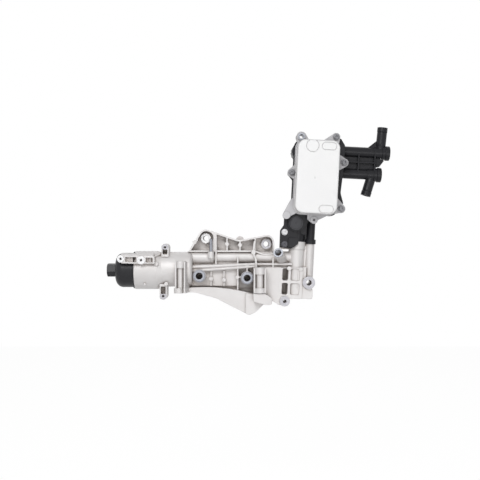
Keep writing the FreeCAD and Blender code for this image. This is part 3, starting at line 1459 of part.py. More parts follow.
def cooler_body(grow, y_low, y_high, corner_trim=0.0):
    x, z = cooler_centre
    half_width, half_height = cooler_width / 2 - grow, cooler_height / 2 - grow
    return rounded_box(x - half_width, x + half_width, y_low, y_high, z - half_height, z + half_height,
                       cooler_corner - grow - corner_trim)


def make_oil_cooler():
    """Brazed pack: base plate, stacked plates with grooves between them, and the embossed cover."""
    back = carrier_front_y
    front = back - cooler_depth
    cover_back = front + cooler_cover_thickness
    solids = [cooler_body(-cooler_base_step, back - cooler_base_thickness, back)]
    stack_low, stack_high = cover_back, back - cooler_base_thickness
    pitch = (stack_high - stack_low) / cooler_plate_count
    solids.append(cooler_body(1.6, stack_low - 1, stack_high + 1))
    for k in range(cooler_plate_count):
        y = stack_low + k * pitch
        solids.append(cooler_body(0.6, y + cooler_plate_groove / 2, y + pitch - cooler_plate_groove / 2))
    cover = cooler_body(0, front, cover_back)
    rim = [edge for edge in cover.Edges if abs(edge.BoundBox.YMin - front) < 0.01 and edge.BoundBox.YLength < 0.01]
    solids.append(cover.makeFillet(cooler_cover_round, rim))
    body = fused(solids)
    tools = []
    for centre in (stadium_top, stadium_bottom):
        tools.append(stadium(centre, stadium_length, stadium_width, front, front + cooler_emboss).cut(
            stadium(centre, stadium_length - 2, stadium_width - 2, front, front + cooler_emboss)))
    ring = cylinder_y(*ring_emboss, ring_emboss_radius, front, front + cooler_emboss)
    tools.append(ring.cut(cylinder_y(*ring_emboss, ring_emboss_radius - 1, front, front + cooler_emboss)))
    x, z = cooler_centre
    tools.append(Part.makeSphere(3.0, Vector(x - 5.5, front - 2.2, z - 2.5)))
    for x, z, radius in port_places():
        tools.append(cylinder_y(x, z, radius, back - 12, back + 1))
    for tool in tools:
        body = body.cut(tool)
    return leaning(body)


# Fasteners, sleeves, inserts and seals


def socket_screw(x, z, seat_y, length):
    """Screw with a round head and a six lobed socket, head on the -Y side of its seat."""
    front = seat_y - screw_head_height
    head = cylinder_y(x, z, screw_head_radius - 1.4, front, seat_y - washer_face_height)
    flange = cylinder_y(x, z, screw_head_radius, seat_y - washer_face_height - 1.0, seat_y)
    edge = [e for e in head.Edges if abs(e.BoundBox.YMin - front) < 0.01 and e.BoundBox.YLength < 0.01]
    head = head.makeFillet(0.8, edge)
    shank = cylinder_y(x, z, screw_shank_radius, seat_y - joint_overlap, seat_y + length)
    socket = [cylinder_y(x, z, screw_socket_radius * 0.82, front, front + screw_socket_depth)]
    for k in range(6):
        angle = math.radians(60 * k)
        socket.append(cylinder_y(x + screw_socket_radius * 0.72 * math.cos(angle),
                                 z + screw_socket_radius * 0.72 * math.sin(angle),
                                 screw_socket_radius * 0.30, front, front + screw_socket_depth))
    return fused([head, flange, shank]).cut(fused(socket))


def make_carrier_screws():
    seat = carrier_front_y - 1.2
    return [leaning(socket_screw(x, z, seat, screw_length)) for x, z in ear_screws]


def make_bracket_screws():
    seat = bracket_plate_back_y - bracket_plate_thickness - 0.4
    return [leaning(socket_screw(x, z, seat, screw_length + 4)) for x, z in (bracket_screw_up, bracket_screw_low)]


def make_screw_inserts():
    """Brass inserts in the manifold's screw bosses."""
    return [leaning(cylinder_y(x, z, insert_radius, manifold_front_y, manifold_front_y + insert_length).cut(
        cylinder_y(x, z, screw_shank_radius + touch_gap, manifold_front_y - 1,
                   manifold_front_y + insert_length + 1))) for x, z in ear_screws]


def make_bracket_sleeves():
    """Steel sleeves that take the bracket screws' clamping load."""
    front = bracket_plate_back_y - bracket_plate_thickness - 0.4
    return [leaning(cylinder_y(x, z, sleeve_radius, front, bracket_plate_back_y).cut(
        cylinder_y(x, z, sleeve_hole_radius, front - 1, bracket_plate_back_y + 1)))
        for x, z in (bracket_screw_up, bracket_screw_low)]


def make_ear_sleeve():
    front = carrier_front_y - 2.6
    sleeve = turned_y(*ear_engine, ((front, ear_sleeve_hole, 0.6), (front, ear_sleeve_radius, 0.6),
                                    (front + 28, ear_sleeve_radius, 0.6), (front + 28, ear_sleeve_hole, 0.6)))
    return leaning(sleeve)


def turned_y(x, z, profile):
    """A solid of revolution about the line along Y through (x, z), from (y, radius, corner) points."""
    face = Part.Face(outline([(radius, y, corner) for y, radius, corner in profile], 0.0, "z"))
    solid = face.revolve(Vector(0, 0, 0), Vector(0, 1, 0), turn)
    solid.translate(Vector(x, 0, z))
    return solid


def make_bushing(place):
    front = boss_cd_front - bushing_proud
    back = boss_cd_front + bushing_length - bushing_proud
    return turned_y(*place, ((front, bushing_hole_radius, 0.8), (front, bushing_radius, 0.8),
                             (back, bushing_radius, 0.5), (back, bushing_hole_radius, 0.5)))


def make_locating_pin():
    body = cylinder_z(pin_x, pin_y, pin_radius, pin_seat_z, pin_top_z - 1.2)
    tip = Part.makeCone(pin_radius, pin_radius - 1.2, 1.2, Vector(pin_x, pin_y, pin_top_z - 1.2), Vector(0, 0, 1))
    return fused([body, tip])


def make_port_insert():
    """Threaded steel insert in the tilted port, with a thin flange on the boss end."""
    flange = along_port(-port_insert_flange_thickness, 0, port_insert_flange)
    body = along_port(-joint_overlap, port_insert_length, port_insert_radius)
    bore = along_port(-2 * port_insert_flange_thickness, port_insert_length + 1, port_hole_radius)
    return fused([flange, body]).cut(bore)


def make_engine_gasket():
    return [gasket_groove(), inlet_groove()]


parts = {
    "filter_housing": make_filter_housing,
    "filter_cap": make_filter_cap,
    "cap_seal": make_cap_seal,
    "filter_media": make_filter_media,
    "element_core": make_element_core,
    "element_end_outer": make_element_end_outer,
    "element_end_inner": make_element_end_inner,
    "element_base_seal": make_element_base_seal,
    "centre_tube": make_centre_tube,
    "bypass_valve": make_bypass_valve,
    "bypass_spring": make_valve_spring,
    "spring_retainer": make_valve_retainer,
    "coolant_manifold": make_coolant_manifold,
    "pipe_plug_upper": lambda: make_pipe_plug(upper_pipe_z, upper_pipe_end_x),
    "pipe_plug_lower": lambda: make_pipe_plug(lower_pipe_z, lower_pipe_end_x),
    "access_plug": make_access_plug,
    "port_seals": make_port_seals,
    "tower_seals": make_tower_seals,
    "cooler_carrier": make_cooler_carrier,
    "oil_cooler": make_oil_cooler,
    "carrier_screws": make_carrier_screws,
    "bracket_screws": make_bracket_screws,
    "screw_inserts": make_screw_inserts,
    "bracket_sleeves": make_bracket_sleeves,
    "ear_sleeve": make_ear_sleeve,
    "bushing_left": lambda: make_bushing(boss_c),
    "bushing_right": lambda: make_bushing(boss_d),
    "locating_pin": make_locating_pin,
    "port_insert": make_port_insert,
    "engine_gasket": make_engine_gasket,
}

os.makedirs("parts", exist_ok=True)
for name, make in parts.items():
    made = make()
    if isinstance(made, list):
        made = Part.makeCompound(made)
    made.exportStep("parts/" + name + ".step")
    print(name, "solids", len(made.Solids), "valid", made.isValid(), "volume", round(made.Volume))
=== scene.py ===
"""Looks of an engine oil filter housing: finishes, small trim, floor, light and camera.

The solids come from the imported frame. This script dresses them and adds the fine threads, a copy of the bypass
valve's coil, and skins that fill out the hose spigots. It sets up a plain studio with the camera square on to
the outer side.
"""

import json
import logging
import math
from dataclasses import dataclass
from enum import Enum
from typing import Any, Sequence

import bmesh
import bpy
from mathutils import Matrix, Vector

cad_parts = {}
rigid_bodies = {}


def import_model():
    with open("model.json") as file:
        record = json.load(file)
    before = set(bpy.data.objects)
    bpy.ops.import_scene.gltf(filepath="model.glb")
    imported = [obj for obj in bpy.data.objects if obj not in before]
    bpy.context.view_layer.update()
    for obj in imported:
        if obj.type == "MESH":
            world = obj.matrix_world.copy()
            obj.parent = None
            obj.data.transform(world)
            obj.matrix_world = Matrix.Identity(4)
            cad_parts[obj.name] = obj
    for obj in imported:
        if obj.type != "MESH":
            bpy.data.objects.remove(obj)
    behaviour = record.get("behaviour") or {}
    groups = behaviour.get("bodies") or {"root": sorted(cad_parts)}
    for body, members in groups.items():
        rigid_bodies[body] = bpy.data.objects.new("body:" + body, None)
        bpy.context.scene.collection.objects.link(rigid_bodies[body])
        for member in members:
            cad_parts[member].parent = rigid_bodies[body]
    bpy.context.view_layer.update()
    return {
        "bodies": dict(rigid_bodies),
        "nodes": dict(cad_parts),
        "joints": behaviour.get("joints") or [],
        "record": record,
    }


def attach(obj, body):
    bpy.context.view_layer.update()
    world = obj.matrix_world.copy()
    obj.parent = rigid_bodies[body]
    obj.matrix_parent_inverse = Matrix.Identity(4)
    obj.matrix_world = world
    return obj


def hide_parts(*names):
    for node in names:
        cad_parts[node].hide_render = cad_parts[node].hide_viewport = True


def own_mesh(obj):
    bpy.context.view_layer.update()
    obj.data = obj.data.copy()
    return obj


LOG = logging.getLogger("oil_filter_housing")
MM = 0.001

Colour = tuple[float, float, float]
Point = tuple[float, float, float]
Materials = dict[str, bpy.types.Material]

FRESH_CUT: Colour = (0.88, 0.88, 0.89)
WHITE = (1.0, 1.0, 1.0, 1.0)
UPWARDS: Point = (0.0, 0.0, 1.0)
INWARDS: Point = (0.0, 1.0, 0.0)
OUTWARDS: Point = (0.0, -1.0, 0.0)


class Slot(Enum):
    """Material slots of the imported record."""

    CASTING = "casting"
    CAP = "cap_plastic"
    MOULDED = "moulded_plastic"
    PLUG = "plug_plastic"
    CARRIER = "carrier_metal"
    COOLER = "cooler_metal"
    RUBBER = "rubber"
    PAPER = "filter_paper"
    FILTER_PLASTIC = "filter_plastic"
    STEEL = "steel"
    BRASS = "brass"


class Body(Enum):
    """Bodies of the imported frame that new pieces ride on."""

    HOUSING = "housing"
    SCREW_CAP = "screw_cap"


@dataclass
class Graph:
    """A node tree with short ways to add nodes and to join their sockets."""

    # Places of the colour sockets among the sockets of a Mix node.
    MIX_COLOURS = (6, 7)
    MIX_RESULT = 2

    tree: bpy.types.NodeTree

    def add(self, kind: str, settings: dict[str, Any] | None = None, **values: Any) -> bpy.types.Node:
        """Adds a node.

        Args:
            kind: Node type, without the leading ShaderNode.
            settings: Properties of the node itself.
            values: Input values, by socket name with underscores for blanks.

        Returns:
            The new node.
        """
        node = self.tree.nodes.new("ShaderNode" + kind)
        for name, value in (settings or {}).items():
            setattr(node, name, value)
        for name, value in values.items():
            node.inputs[name.replace("_", " ")].default_value = value
        return node

    def join(self, source: bpy.types.NodeSocket, target: bpy.types.NodeSocket) -> None:
        """Joins an output to an input."""
        self.tree.links.new(source, target)

    def feed(self, term: Any, target: bpy.types.NodeSocket) -> None:
        """Joins a socket to an input, or sets the input to a plain value.

        Args:
            term: Socket or value.
            target: The input.
        """
        if isinstance(term, bpy.types.NodeSocket):
            self.join(term, target)
        else:
            target.default_value = term

    def maths(self, operation: str, *terms: Any) -> bpy.types.NodeSocket:
        """Adds a Math node.

        Args:
            operation: Name of the operation.
            terms: Sockets or numbers, in the order of the inputs.

        Returns:
            The result socket.
        """
        node = self.add("Math", {"operation": operation})
        for index, term in enumerate(terms):
            self.feed(term, node.inputs[index])
        return node.outputs[0]

    def vector_maths(self, operation: str, *terms: Any) -> bpy.types.Node:
        """Adds a Vector Math node and joins or sets its inputs.

        Args:
            operation: Name of the operation.
            terms: Sockets or triples, in the order of the inputs.

        Returns:
            The node.
        """
        node = self.add("VectorMath", {"operation": operation})
        for index, term in enumerate(terms):
            self.feed(term, node.inputs[index])
        return node

    def dot(self, first: Any, second: Any) -> bpy.types.NodeSocket:
        """Returns the dot product of two sockets or triples."""
        return self.vector_maths("DOT_PRODUCT", first, second).outputs["Value"]

    def scale(self, vector: Any, factor: bpy.types.NodeSocket) -> bpy.types.NodeSocket:
        """Multiplies a vector or colour by a number.

        Args:
            vector: Socket or triple.
            factor: Socket with the number.

        Returns:
            The result socket.
        """
        node = self.vector_maths("SCALE", vector)
        self.join(factor, node.inputs["Scale"])
        return node.outputs[0]

    def mix(self, factor: bpy.types.NodeSocket, first: Any, second: Any) -> bpy.types.NodeSocket:
        """Mixes two colours.

        Args:
            factor: Socket with the share of the second colour.
            first: Colour or socket.
            second: Colour or socket.

        Returns:
            The mixed colour socket.
        """
        node = self.add("Mix", {"data_type": "RGBA"})
        self.join(factor, node.inputs["Factor"])
        for index, term in zip(self.MIX_COLOURS, (first, second)):
            self.feed(term if isinstance(term, bpy.types.NodeSocket) else (*term, 1.0), node.inputs[index])
        return node.outputs[self.MIX_RESULT]

    def blend(self, factor: bpy.types.NodeSocket, first: float, second: float) -> bpy.types.NodeSocket:
        """Maps a mask to a number that runs from the first value to the second."""
        return self.maths("MULTIPLY_ADD", factor, second - first, first)

    def around(self, factor: bpy.types.NodeSocket, middle: float, spread: float) -> bpy.types.NodeSocket:
        """Maps a mask to a number that runs from below a middle value to above it."""
        return self.blend(factor, middle - spread, middle + spread)


class Effects:
    """Shader groups that more than one material uses."""

    RING_DENSITY = 9000.0
    SQUARE_ON = 0.97
    SHADE_SAMPLES = 6
    BEVEL_SAMPLES = 4
    FINE_NOISE = {"Detail": 3.0, "Roughness": 0.6}
    CLOUD_NOISE = {"Detail": 4.0, "Roughness": 0.55}

    def __init__(self) -> None:
        """Builds every group once."""
        self.grain = self._grain()
        self.recess_shade = self._recess()
        self.spot_face = self._spot_face()
        self.edge = self._edge()

    @staticmethod
    def _start(name: str, inputs: Sequence[tuple[str, str, Any]],
               outputs: Sequence[tuple[str, str]]) -> Graph:
        """Makes an empty group with its sockets.

        Args:
            name: Name of the group.
            inputs: Socket name, kind and default value of each input.
            outputs: Socket name and kind of each output.

        Returns:
            The group's graph.
        """
        tree = bpy.data.node_groups.new(name, "ShaderNodeTree")
        for label, kind, value in inputs:
            socket = tree.interface.new_socket(label, in_out="INPUT", socket_type="NodeSocket" + kind)
            socket.default_value = value
        for label, kind in outputs:
            tree.interface.new_socket(label, in_out="OUTPUT", socket_type="NodeSocket" + kind)
        tree.nodes.new("NodeGroupInput")
        tree.nodes.new("NodeGroupOutput")
        return Graph(tree)

    @staticmethod
    def _ends(graph: Graph) -> tuple[bpy.types.NodeInputs, bpy.types.NodeOutputs]:
        """Returns the input sockets of the group's output node and the outputs of its input node."""
        nodes = graph.tree.nodes
        return nodes["Group Output"].inputs, nodes["Group Input"].outputs

    def _grain(self) -> bpy.types.NodeTree:
        """Fine grain over soft clouds.

        Returns:
            A group that gives a tone between 0 and 1 and a height.
        """
        graph = self._start("Surface grain",
                            [("Scale", "Float", 900.0), ("Cloud Scale", "Float", 25.0)],
                            [("Tone", "Float"), ("Height", "Float")])
        outs, ins = self._ends(graph)
        place = graph.add("TexCoord")
        fine = graph.add("TexNoise", **self.FINE_NOISE)
        cloud = graph.add("TexNoise", **self.CLOUD_NOISE)
        for noise, scale in ((fine, ins["Scale"]), (cloud, ins["Cloud Scale"])):
            graph.join(place.outputs["Object"], noise.inputs["Vector"])
            graph.join(scale, noise.inputs["Scale"])
        graph.join(cloud.outputs["Fac"], outs["Tone"])
        graph.join(fine.outputs["Fac"], outs["Height"])
        return graph.tree

    def _recess(self) -> bpy.types.NodeTree:
        """Mask of places that lie deep between walls, where painted shade darkens the colour.

        Returns:
            A group that gives 0 in the open and 1 deep inside.
        """
        graph = self._start("Recess shade", [("Reach", "Float", 0.02), ("Power", "Float", 1.5)],
                            [("Mask", "Float")])
        outs, ins = self._ends(graph)
        shade = graph.add("AmbientOcclusion", {"samples": self.SHADE_SAMPLES})
        graph.join(ins["Reach"], shade.inputs["Distance"])
        closed = graph.maths("SUBTRACT", 1.0, shade.outputs["AO"])
        graph.join(graph.maths("POWER", closed, ins["Power"]), outs["Mask"])
        return graph.tree

    def _spot_face(self) -> bpy.types.NodeTree:
        """Mask of a machined round face, with the rings that the cutter leaves.

        Returns:
            A group that gives a height, and 1 on a disc round a centre where the surface faces along the axis.
        """
        graph = self._start("Machined face",
                            [("Centre", "Vector", (0, 0, 0)), ("Axis", "Vector", (0, -1, 0)),
                             ("Radius", "Float", 0.01), ("Depth", "Float", 0.0006)],
                            [("Mask", "Float"), ("Height", "Float")])
        outs, ins = self._ends(graph)
        place = graph.add("TexCoord")
        away = graph.vector_maths("SUBTRACT", place.outputs["Object"], ins["Centre"]).outputs[0]
        along = graph.dot(away, ins["Axis"])
        radial = graph.vector_maths("SUBTRACT", away, graph.scale(ins["Axis"], along)).outputs[0]
        distance = graph.vector_maths("LENGTH", radial).outputs["Value"]
        facing = graph.dot(graph.add("NewGeometry").outputs["True Normal"], ins["Axis"])
        near = graph.maths("LESS_THAN", distance, ins["Radius"])
        level = graph.maths("LESS_THAN", graph.maths("ABSOLUTE", along), ins["Depth"])
        square = graph.maths("GREATER_THAN", facing, self.SQUARE_ON)
        mask = graph.maths("MULTIPLY", near, graph.maths("MULTIPLY", level, square))
        graph.join(mask, outs["Mask"])
        rings = graph.maths("SINE", graph.maths("MULTIPLY", distance, self.RING_DENSITY))
        graph.join(graph.maths("MULTIPLY", rings, mask), outs["Height"])
        return graph.tree

    def _edge(self) -> bpy.types.NodeTree:
        """Rounded normals along sharp edges, with a mask of the edges.

        Returns:
            A group that gives a normal and a mask.
        """
        graph = self._start("Rounded edge", [("Radius", "Float", 0.0008)],
                            [("Normal", "Vector"), ("Mask", "Float")])
        outs, ins = self._ends(graph)
        bevel = graph.add("Bevel", {"samples": self.BEVEL_SAMPLES})
        graph.join(ins["Radius"], bevel.inputs["Radius"])
        turned = graph.dot(bevel.outputs[0], graph.add("NewGeometry").outputs["Normal"])
        graph.join(bevel.outputs[0], outs["Normal"])
        graph.join(graph.maths("SUBTRACT", 1.0, turned), outs["Mask"])
        return graph.tree


@dataclass(frozen=True)
class SpotFace:
    """One machined round face, in millimetres."""

    centre: Point
    radius: float
    axis: Point = OUTWARDS
    colour: Colour = (0.52, 0.515, 0.55)


@dataclass(frozen=True)
class CastMetal:
    """Die-cast aluminium with machined faces, with warm dark painted shade in its recesses and creases, and on
    faces that look up where top_shade is set.
    """

    name: str
    colour: Colour = (0.752, 0.736, 0.733)
    stain: Colour = (0.635, 0.605, 0.595)
    stain_power: float = 2.2
    cloud_scale: float = 26.0
    # Painted shade: colour mixed into recesses, and onto faces that look up where top_shade is set.
    shade: Colour = (0.49, 0.44, 0.405)
    roughness: float = 0.5
    roughness_spread: float = 0.07
    metallic: float = 0.2
    grain_scale: float = 700.0
    grain_depth: float = 0.00014
    grain_strength: float = 0.7
    edge_radius: float = 0.0012
    recess_reach: float = 0.018
    recess_power: float = 1.6
    # Painted shade: darker colour mixed into narrow creases.
    crease_shade: Colour = (0.29, 0.262, 0.25)
    crease_reach: float = 0.0035
    crease_power: float = 1.2
    crease_share: float = 0.45
    # Share of painted shade on faces that look up.
    top_shade: float = 0.0
    cut_polish: float = 0.14
    cut_rings: float = 0.25
    faces: tuple[SpotFace, ...] = ()

    def build(self, effects: Effects) -> bpy.types.Material:
        """Makes the material.

        Args:
            effects: Shared shader groups.

        Returns:
            The material.
        """
        material, graph, shader = new_material(self.name)
        grain = place_group(graph, effects.grain, Scale=self.grain_scale, Cloud_Scale=self.cloud_scale)
        colour = self._skin(graph, effects, grain)
        rough: Any = graph.around(grain.outputs["Tone"], self.roughness, self.roughness_spread)
        height: Any = grain.outputs["Height"]
        for face in self.faces:
            spot = place_group(graph, effects.spot_face, Centre=metres(face.centre), Axis=face.axis,
                               Radius=face.radius * MM)
            colour = graph.mix(spot.outputs["Mask"], colour, face.colour)
            rough = graph.maths("MULTIPLY_ADD", spot.outputs["Mask"], -self.cut_polish, rough)
            height = graph.maths("MULTIPLY_ADD", spot.outputs["Height"], self.cut_rings, height)
        graph.join(colour, shader.inputs["Base Color"])
        graph.join(rough, shader.inputs["Roughness"])
        shader.inputs["Metallic"].default_value = self.metallic
        edge = place_group(graph, effects.edge, Radius=self.edge_radius)
        bump = graph.add("Bump", Distance=self.grain_depth, Strength=self.grain_strength)
        graph.join(height, bump.inputs["Height"])
        graph.join(edge.outputs["Normal"], bump.inputs["Normal"])
        graph.join(bump.outputs[0], shader.inputs["Normal"])
        return material

    def _skin(self, graph: Graph, effects: Effects, grain: bpy.types.Node) -> bpy.types.NodeSocket:
        """Mixes the cast skin with its stains, then paints shade into its recesses and creases and, where
        top_shade is set, onto faces that look up.

        Args:
            graph: The material's graph.
            effects: Shared shader groups.
            grain: Placed grain group.

        Returns:
            The colour socket.
        """
        recess_shade = place_group(graph, effects.recess_shade, Reach=self.recess_reach, Power=self.recess_power)
        crease_shade = place_group(graph, effects.recess_shade, Reach=self.crease_reach, Power=self.crease_power)
        patch = graph.maths("POWER", grain.outputs["Tone"], self.stain_power)
        colour = graph.mix(patch, self.colour, self.stain)
        # Painted shade: recesses, found by ambient occlusion, are mixed towards the shade colour.
        colour = graph.mix(recess_shade.outputs["Mask"], colour, self.shade)
        # Painted shade: narrow creases, found by a short ambient occlusion, are mixed towards the darker crease
        # colour.
        creased = graph.maths("MULTIPLY", crease_shade.outputs["Mask"], self.crease_share)
        colour = graph.mix(creased, colour, self.crease_shade)
        # Painted shade: faces that look up are mixed towards the shade colour, most where they face straight up.
        if self.top_shade > 0:
            upward = graph.dot(graph.add("NewGeometry").outputs["Normal"], UPWARDS)
            above = graph.maths("MAXIMUM", upward, 0.0)
            colour = graph.mix(graph.maths("MULTIPLY", above, self.top_shade), colour, self.shade)
        return colour


@dataclass(frozen=True)
class Plastic:
    """Moulded black or dark plastic with a fine satin texture, lighter along its edges for wear and a painted
    highlight.
    """

    name: str
    colour: Colour = (0.017, 0.017, 0.020)
    # Lighter colour along edges: partly wear, partly a painted highlight.
    worn_and_highlight: Colour = (0.05, 0.05, 0.055)
    wear_and_highlight_share: float = 0.5
    cloud_scale: float = 30.0
    roughness: float = 0.34
    roughness_spread: float = 0.08
    gloss: float = 0.2
    grain_scale: float = 1600.0
    grain_depth: float = 0.00006
    grain_strength: float = 0.5
    edge_radius: float = 0.0007

    def build(self, effects: Effects) -> bpy.types.Material:
        """Makes the material.

        Args:
            effects: Shared shader groups.

        Returns:
            The material.
        """
        material, graph, shader = new_material(self.name)
        shader.inputs["Specular IOR Level"].default_value = self.gloss
        grain = place_group(graph, effects.grain, Scale=self.grain_scale, Cloud_Scale=self.cloud_scale)
        edge = place_group(graph, effects.edge, Radius=self.edge_radius)
        # Edges are lighter, partly for wear and partly as a painted highlight.
        wear_and_highlight = graph.maths("MULTIPLY", edge.outputs["Mask"], self.wear_and_highlight_share)
        graph.join(graph.mix(wear_and_highlight, self.colour, self.worn_and_highlight), shader.inputs["Base Color"])
        graph.join(graph.around(grain.outputs["Tone"], self.roughness, self.roughness_spread),
                   shader.inputs["Roughness"])
        bump = graph.add("Bump", Distance=self.grain_depth, Strength=self.grain_strength)
        graph.join(grain.outputs["Height"], bump.inputs["Height"])
        graph.join(edge.outputs["Normal"], bump.inputs["Normal"])
        graph.join(bump.outputs[0], shader.inputs["Normal"])
        return material


@dataclass(frozen=True)
class TurnedMetal:
    """Steel or brass of a small turned part, with another colour below a level where one is given, used as
    painted shade.
    """

    name: str
    colour: Colour
    roughness: float = 0.3
    roughness_spread: float = 0.07
    metallic: float = 1.0
    grain_scale: float = 1200.0
    cloud_scale: float = 60.0
    darkest: float = 0.85
    lightest: float = 1.1
    edge_radius: float = 0.0005
    low_shade_colour: Colour | None = None
    low_level: float = 0.0

    def build(self, effects: Effects) -> bpy.types.Material:
        """Makes the material.

        Args:
            effects: Shared shader groups.

        Returns:
            The material.
        """
        material, graph, shader = new_material(self.name)
        shader.inputs["Metallic"].default_value = self.metallic
        grain = place_group(graph, effects.grain, Scale=self.grain_scale, Cloud_Scale=self.cloud_scale)
        edge = place_group(graph, effects.edge, Radius=self.edge_radius)
        colour = graph.scale(self.colour, graph.blend(grain.outputs["Tone"], self.darkest, self.lightest))
        # Painted shade: below the level the surface takes the low colour, as for a screw that sits in shade.
        if self.low_shade_colour:
            level = graph.dot(graph.add("TexCoord").outputs["Object"], UPWARDS)
            colour = graph.mix(graph.maths("LESS_THAN", level, self.low_level), colour, self.low_shade_colour)
        graph.join(colour, shader.inputs["Base Color"])
        graph.join(graph.around(grain.outputs["Tone"], self.roughness, self.roughness_spread),
                   shader.inputs["Roughness"])
        graph.join(edge.outputs["Normal"], shader.inputs["Normal"])
        return material


@dataclass(frozen=True)
class Plain:
    """Rubber or paper: one colour with a fine grain."""

    name: str
    colour: Colour
    roughness: float
    grain_scale: float = 1500.0
    cloud_scale: float = 80.0
    darkest: float = 0.8
    lightest: float = 1.15

    def build(self, effects: Effects) -> bpy.types.Material:
        """Makes the material.

        Args:
            effects: Shared shader groups.

        Returns:
            The material.
        """
        material, graph, shader = new_material(self.name)
        grain = place_group(graph, effects.grain, Scale=self.grain_scale, Cloud_Scale=self.cloud_scale)
        tone = graph.blend(grain.outputs["Tone"], self.darkest, self.lightest)
        graph.join(graph.scale(self.colour, tone), shader.inputs["Base Color"])
        shader.inputs["Roughness"].default_value = self.roughness
        return material


def metres(point: Point) -> Point:
    """Turns a point in millimetres into metres."""
    return tuple(value * MM for value in point)


def new_material(name: str) -> tuple[bpy.types.Material, Graph, bpy.types.Node]:
    """Makes a material with one Principled shader.

    Args:
        name: Name of the material.

    Returns:
        The material, its graph and the shader node.
    """
    material = bpy.data.materials.new(name)
    material.use_nodes = True
    return material, Graph(material.node_tree), material.node_tree.nodes["Principled BSDF"]


def place_group(graph: Graph, group: bpy.types.NodeTree, **values: Any) -> bpy.types.Node:
    """Places a shared group in a material.

    Args:
        graph: The material's graph.
        group: The group.
        values: Input values, by socket name with underscores for blanks.

    Returns:
        The group node.
    """
    node = graph.tree.nodes.new("ShaderNodeGroup")
    node.node_tree = group
    for name, value in values.items():
        node.inputs[name.replace("_", " ")].default_value = value
    return node


@dataclass
class Finishes:
    """Every finish of the part, by material slot."""

    effects: Effects
    casting_faces: tuple[SpotFace, ...] = (
        SpotFace((-69.0, -46.0, 3.5), 9.6, colour=FRESH_CUT),
        SpotFace((53.0, -42.0, -8.0), 9.6),
        SpotFace((137.0, -70.0, -85.0), 12.4),
        SpotFace((89.0, -66.5, -122.0), 10.2),
        SpotFace((-81.0, -70.0, -71.5), 12.8),
        SpotFace((14.2, -70.0, -75.5), 12.8),
        SpotFace((-234.0, -93.5, -37.0), 7.0, colour=FRESH_CUT),
        SpotFace((-194.0, -93.5, -39.5), 8.0, colour=FRESH_CUT),
        SpotFace((-149.0, -72.0, -14.5), 6.5),
        SpotFace((-152.5, -72.0, -111.5), 6.5),
        SpotFace((-117.5, -87.0, -41.5), 8.0, UPWARDS, FRESH_CUT),
        SpotFace((39.0, -87.0, -54.0), 10.0, UPWARDS, FRESH_CUT),
        SpotFace((0.0, 0.0, 0.0), 400.0, INWARDS),
    )

    def build(self) -> Materials:
        """Makes every material.

        Returns:
            The materials by slot name.
        """
        recipes = {
            Slot.CASTING: CastMetal("cast aluminium", faces=self.casting_faces),
            Slot.CARRIER: CastMetal("carrier aluminium", colour=(0.53, 0.525, 0.54),
                                    stain=(0.46, 0.46, 0.475), shade=(0.26, 0.25, 0.26),
                                    grain_depth=0.00007),
            Slot.COOLER: CastMetal("brazed aluminium", colour=(0.92, 0.92, 0.92), stain=(0.88, 0.88, 0.89),
                                   shade=(0.55, 0.55, 0.56), roughness=0.55, metallic=0.05,
                                   grain_depth=0.00003, top_shade=0.9),
            Slot.CAP: Plastic("cap plastic", colour=(0.023, 0.023, 0.026), roughness=0.38, gloss=0.26),
            Slot.MOULDED: Plastic("manifold plastic"),
            Slot.PLUG: Plastic("plug plastic", colour=(0.062, 0.062, 0.068), roughness=0.5),
            Slot.FILTER_PLASTIC: Plastic("filter plastic", colour=(0.05, 0.05, 0.055)),
            Slot.RUBBER: Plain("seal rubber", colour=(0.012, 0.012, 0.012), roughness=0.55),
            Slot.PAPER: Plain("pleated paper", colour=(0.70, 0.55, 0.30), roughness=0.85),
            Slot.STEEL: TurnedMetal("plated steel", colour=(0.29, 0.30, 0.33), roughness=0.42),
            Slot.BRASS: TurnedMetal("turned brass", colour=(0.72, 0.53, 0.22)),
        }
        return {slot.value: recipe.build(self.effects) for slot, recipe in recipes.items()}

    def build_extra(self) -> Materials:
        """Makes the finishes of single nodes that differ from their slot.

        Returns:
            The materials by node name.
        """
        recipes = {
            # The lower of the two bracket screws is painted dark below a level: painted shade.
            "bracket_screws": TurnedMetal("zinc plate", colour=(0.50, 0.50, 0.51), roughness=0.45,
                                          low_shade_colour=(0.09, 0.09, 0.10), low_level=0.004),
            "carrier_screws": TurnedMetal("dark plate", colour=(0.19, 0.19, 0.20), roughness=0.4),
        }
        return {node: recipe.build(self.effects) for node, recipe in recipes.items()}


@dataclass
class PackedParts:
    """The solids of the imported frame, dressed with the finishes."""

    frame: dict[str, Any]
    materials: Materials
    extra: Materials

    def dress(self) -> None:
        """Gives each node the material of its slot, or its own."""
        slots = {item["node"]: item["material_slot"] for item in self.frame["record"]["subparts"]}
        for name, piece in self.frame["nodes"].items():
            for place in piece.material_slots:
                place.material = self.extra.get(name, self.materials[slots[name]])
            LOG.info("dressed %s in %s", name, slots[name])


def add_piece(name: str, mesh: bpy.types.Mesh, slot: Slot, body: Body,
              materials: Materials) -> bpy.types.Object:
    """Makes a piece of a mesh, dresses it and lets it ride.

    Args:
        name: Name of the piece.
        mesh: Its mesh, without a material.
        slot: Material slot.
        body: Body that it moves with.
        materials: Finishes by slot name.

    Returns:
        The new object.
    """
    mesh.materials.append(materials[slot.value])
    piece = bpy.data.objects.new(name, mesh)
    bpy.context.collection.objects.link(piece)
    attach(piece, body.value)
    LOG.info("built %s", name)
    return piece


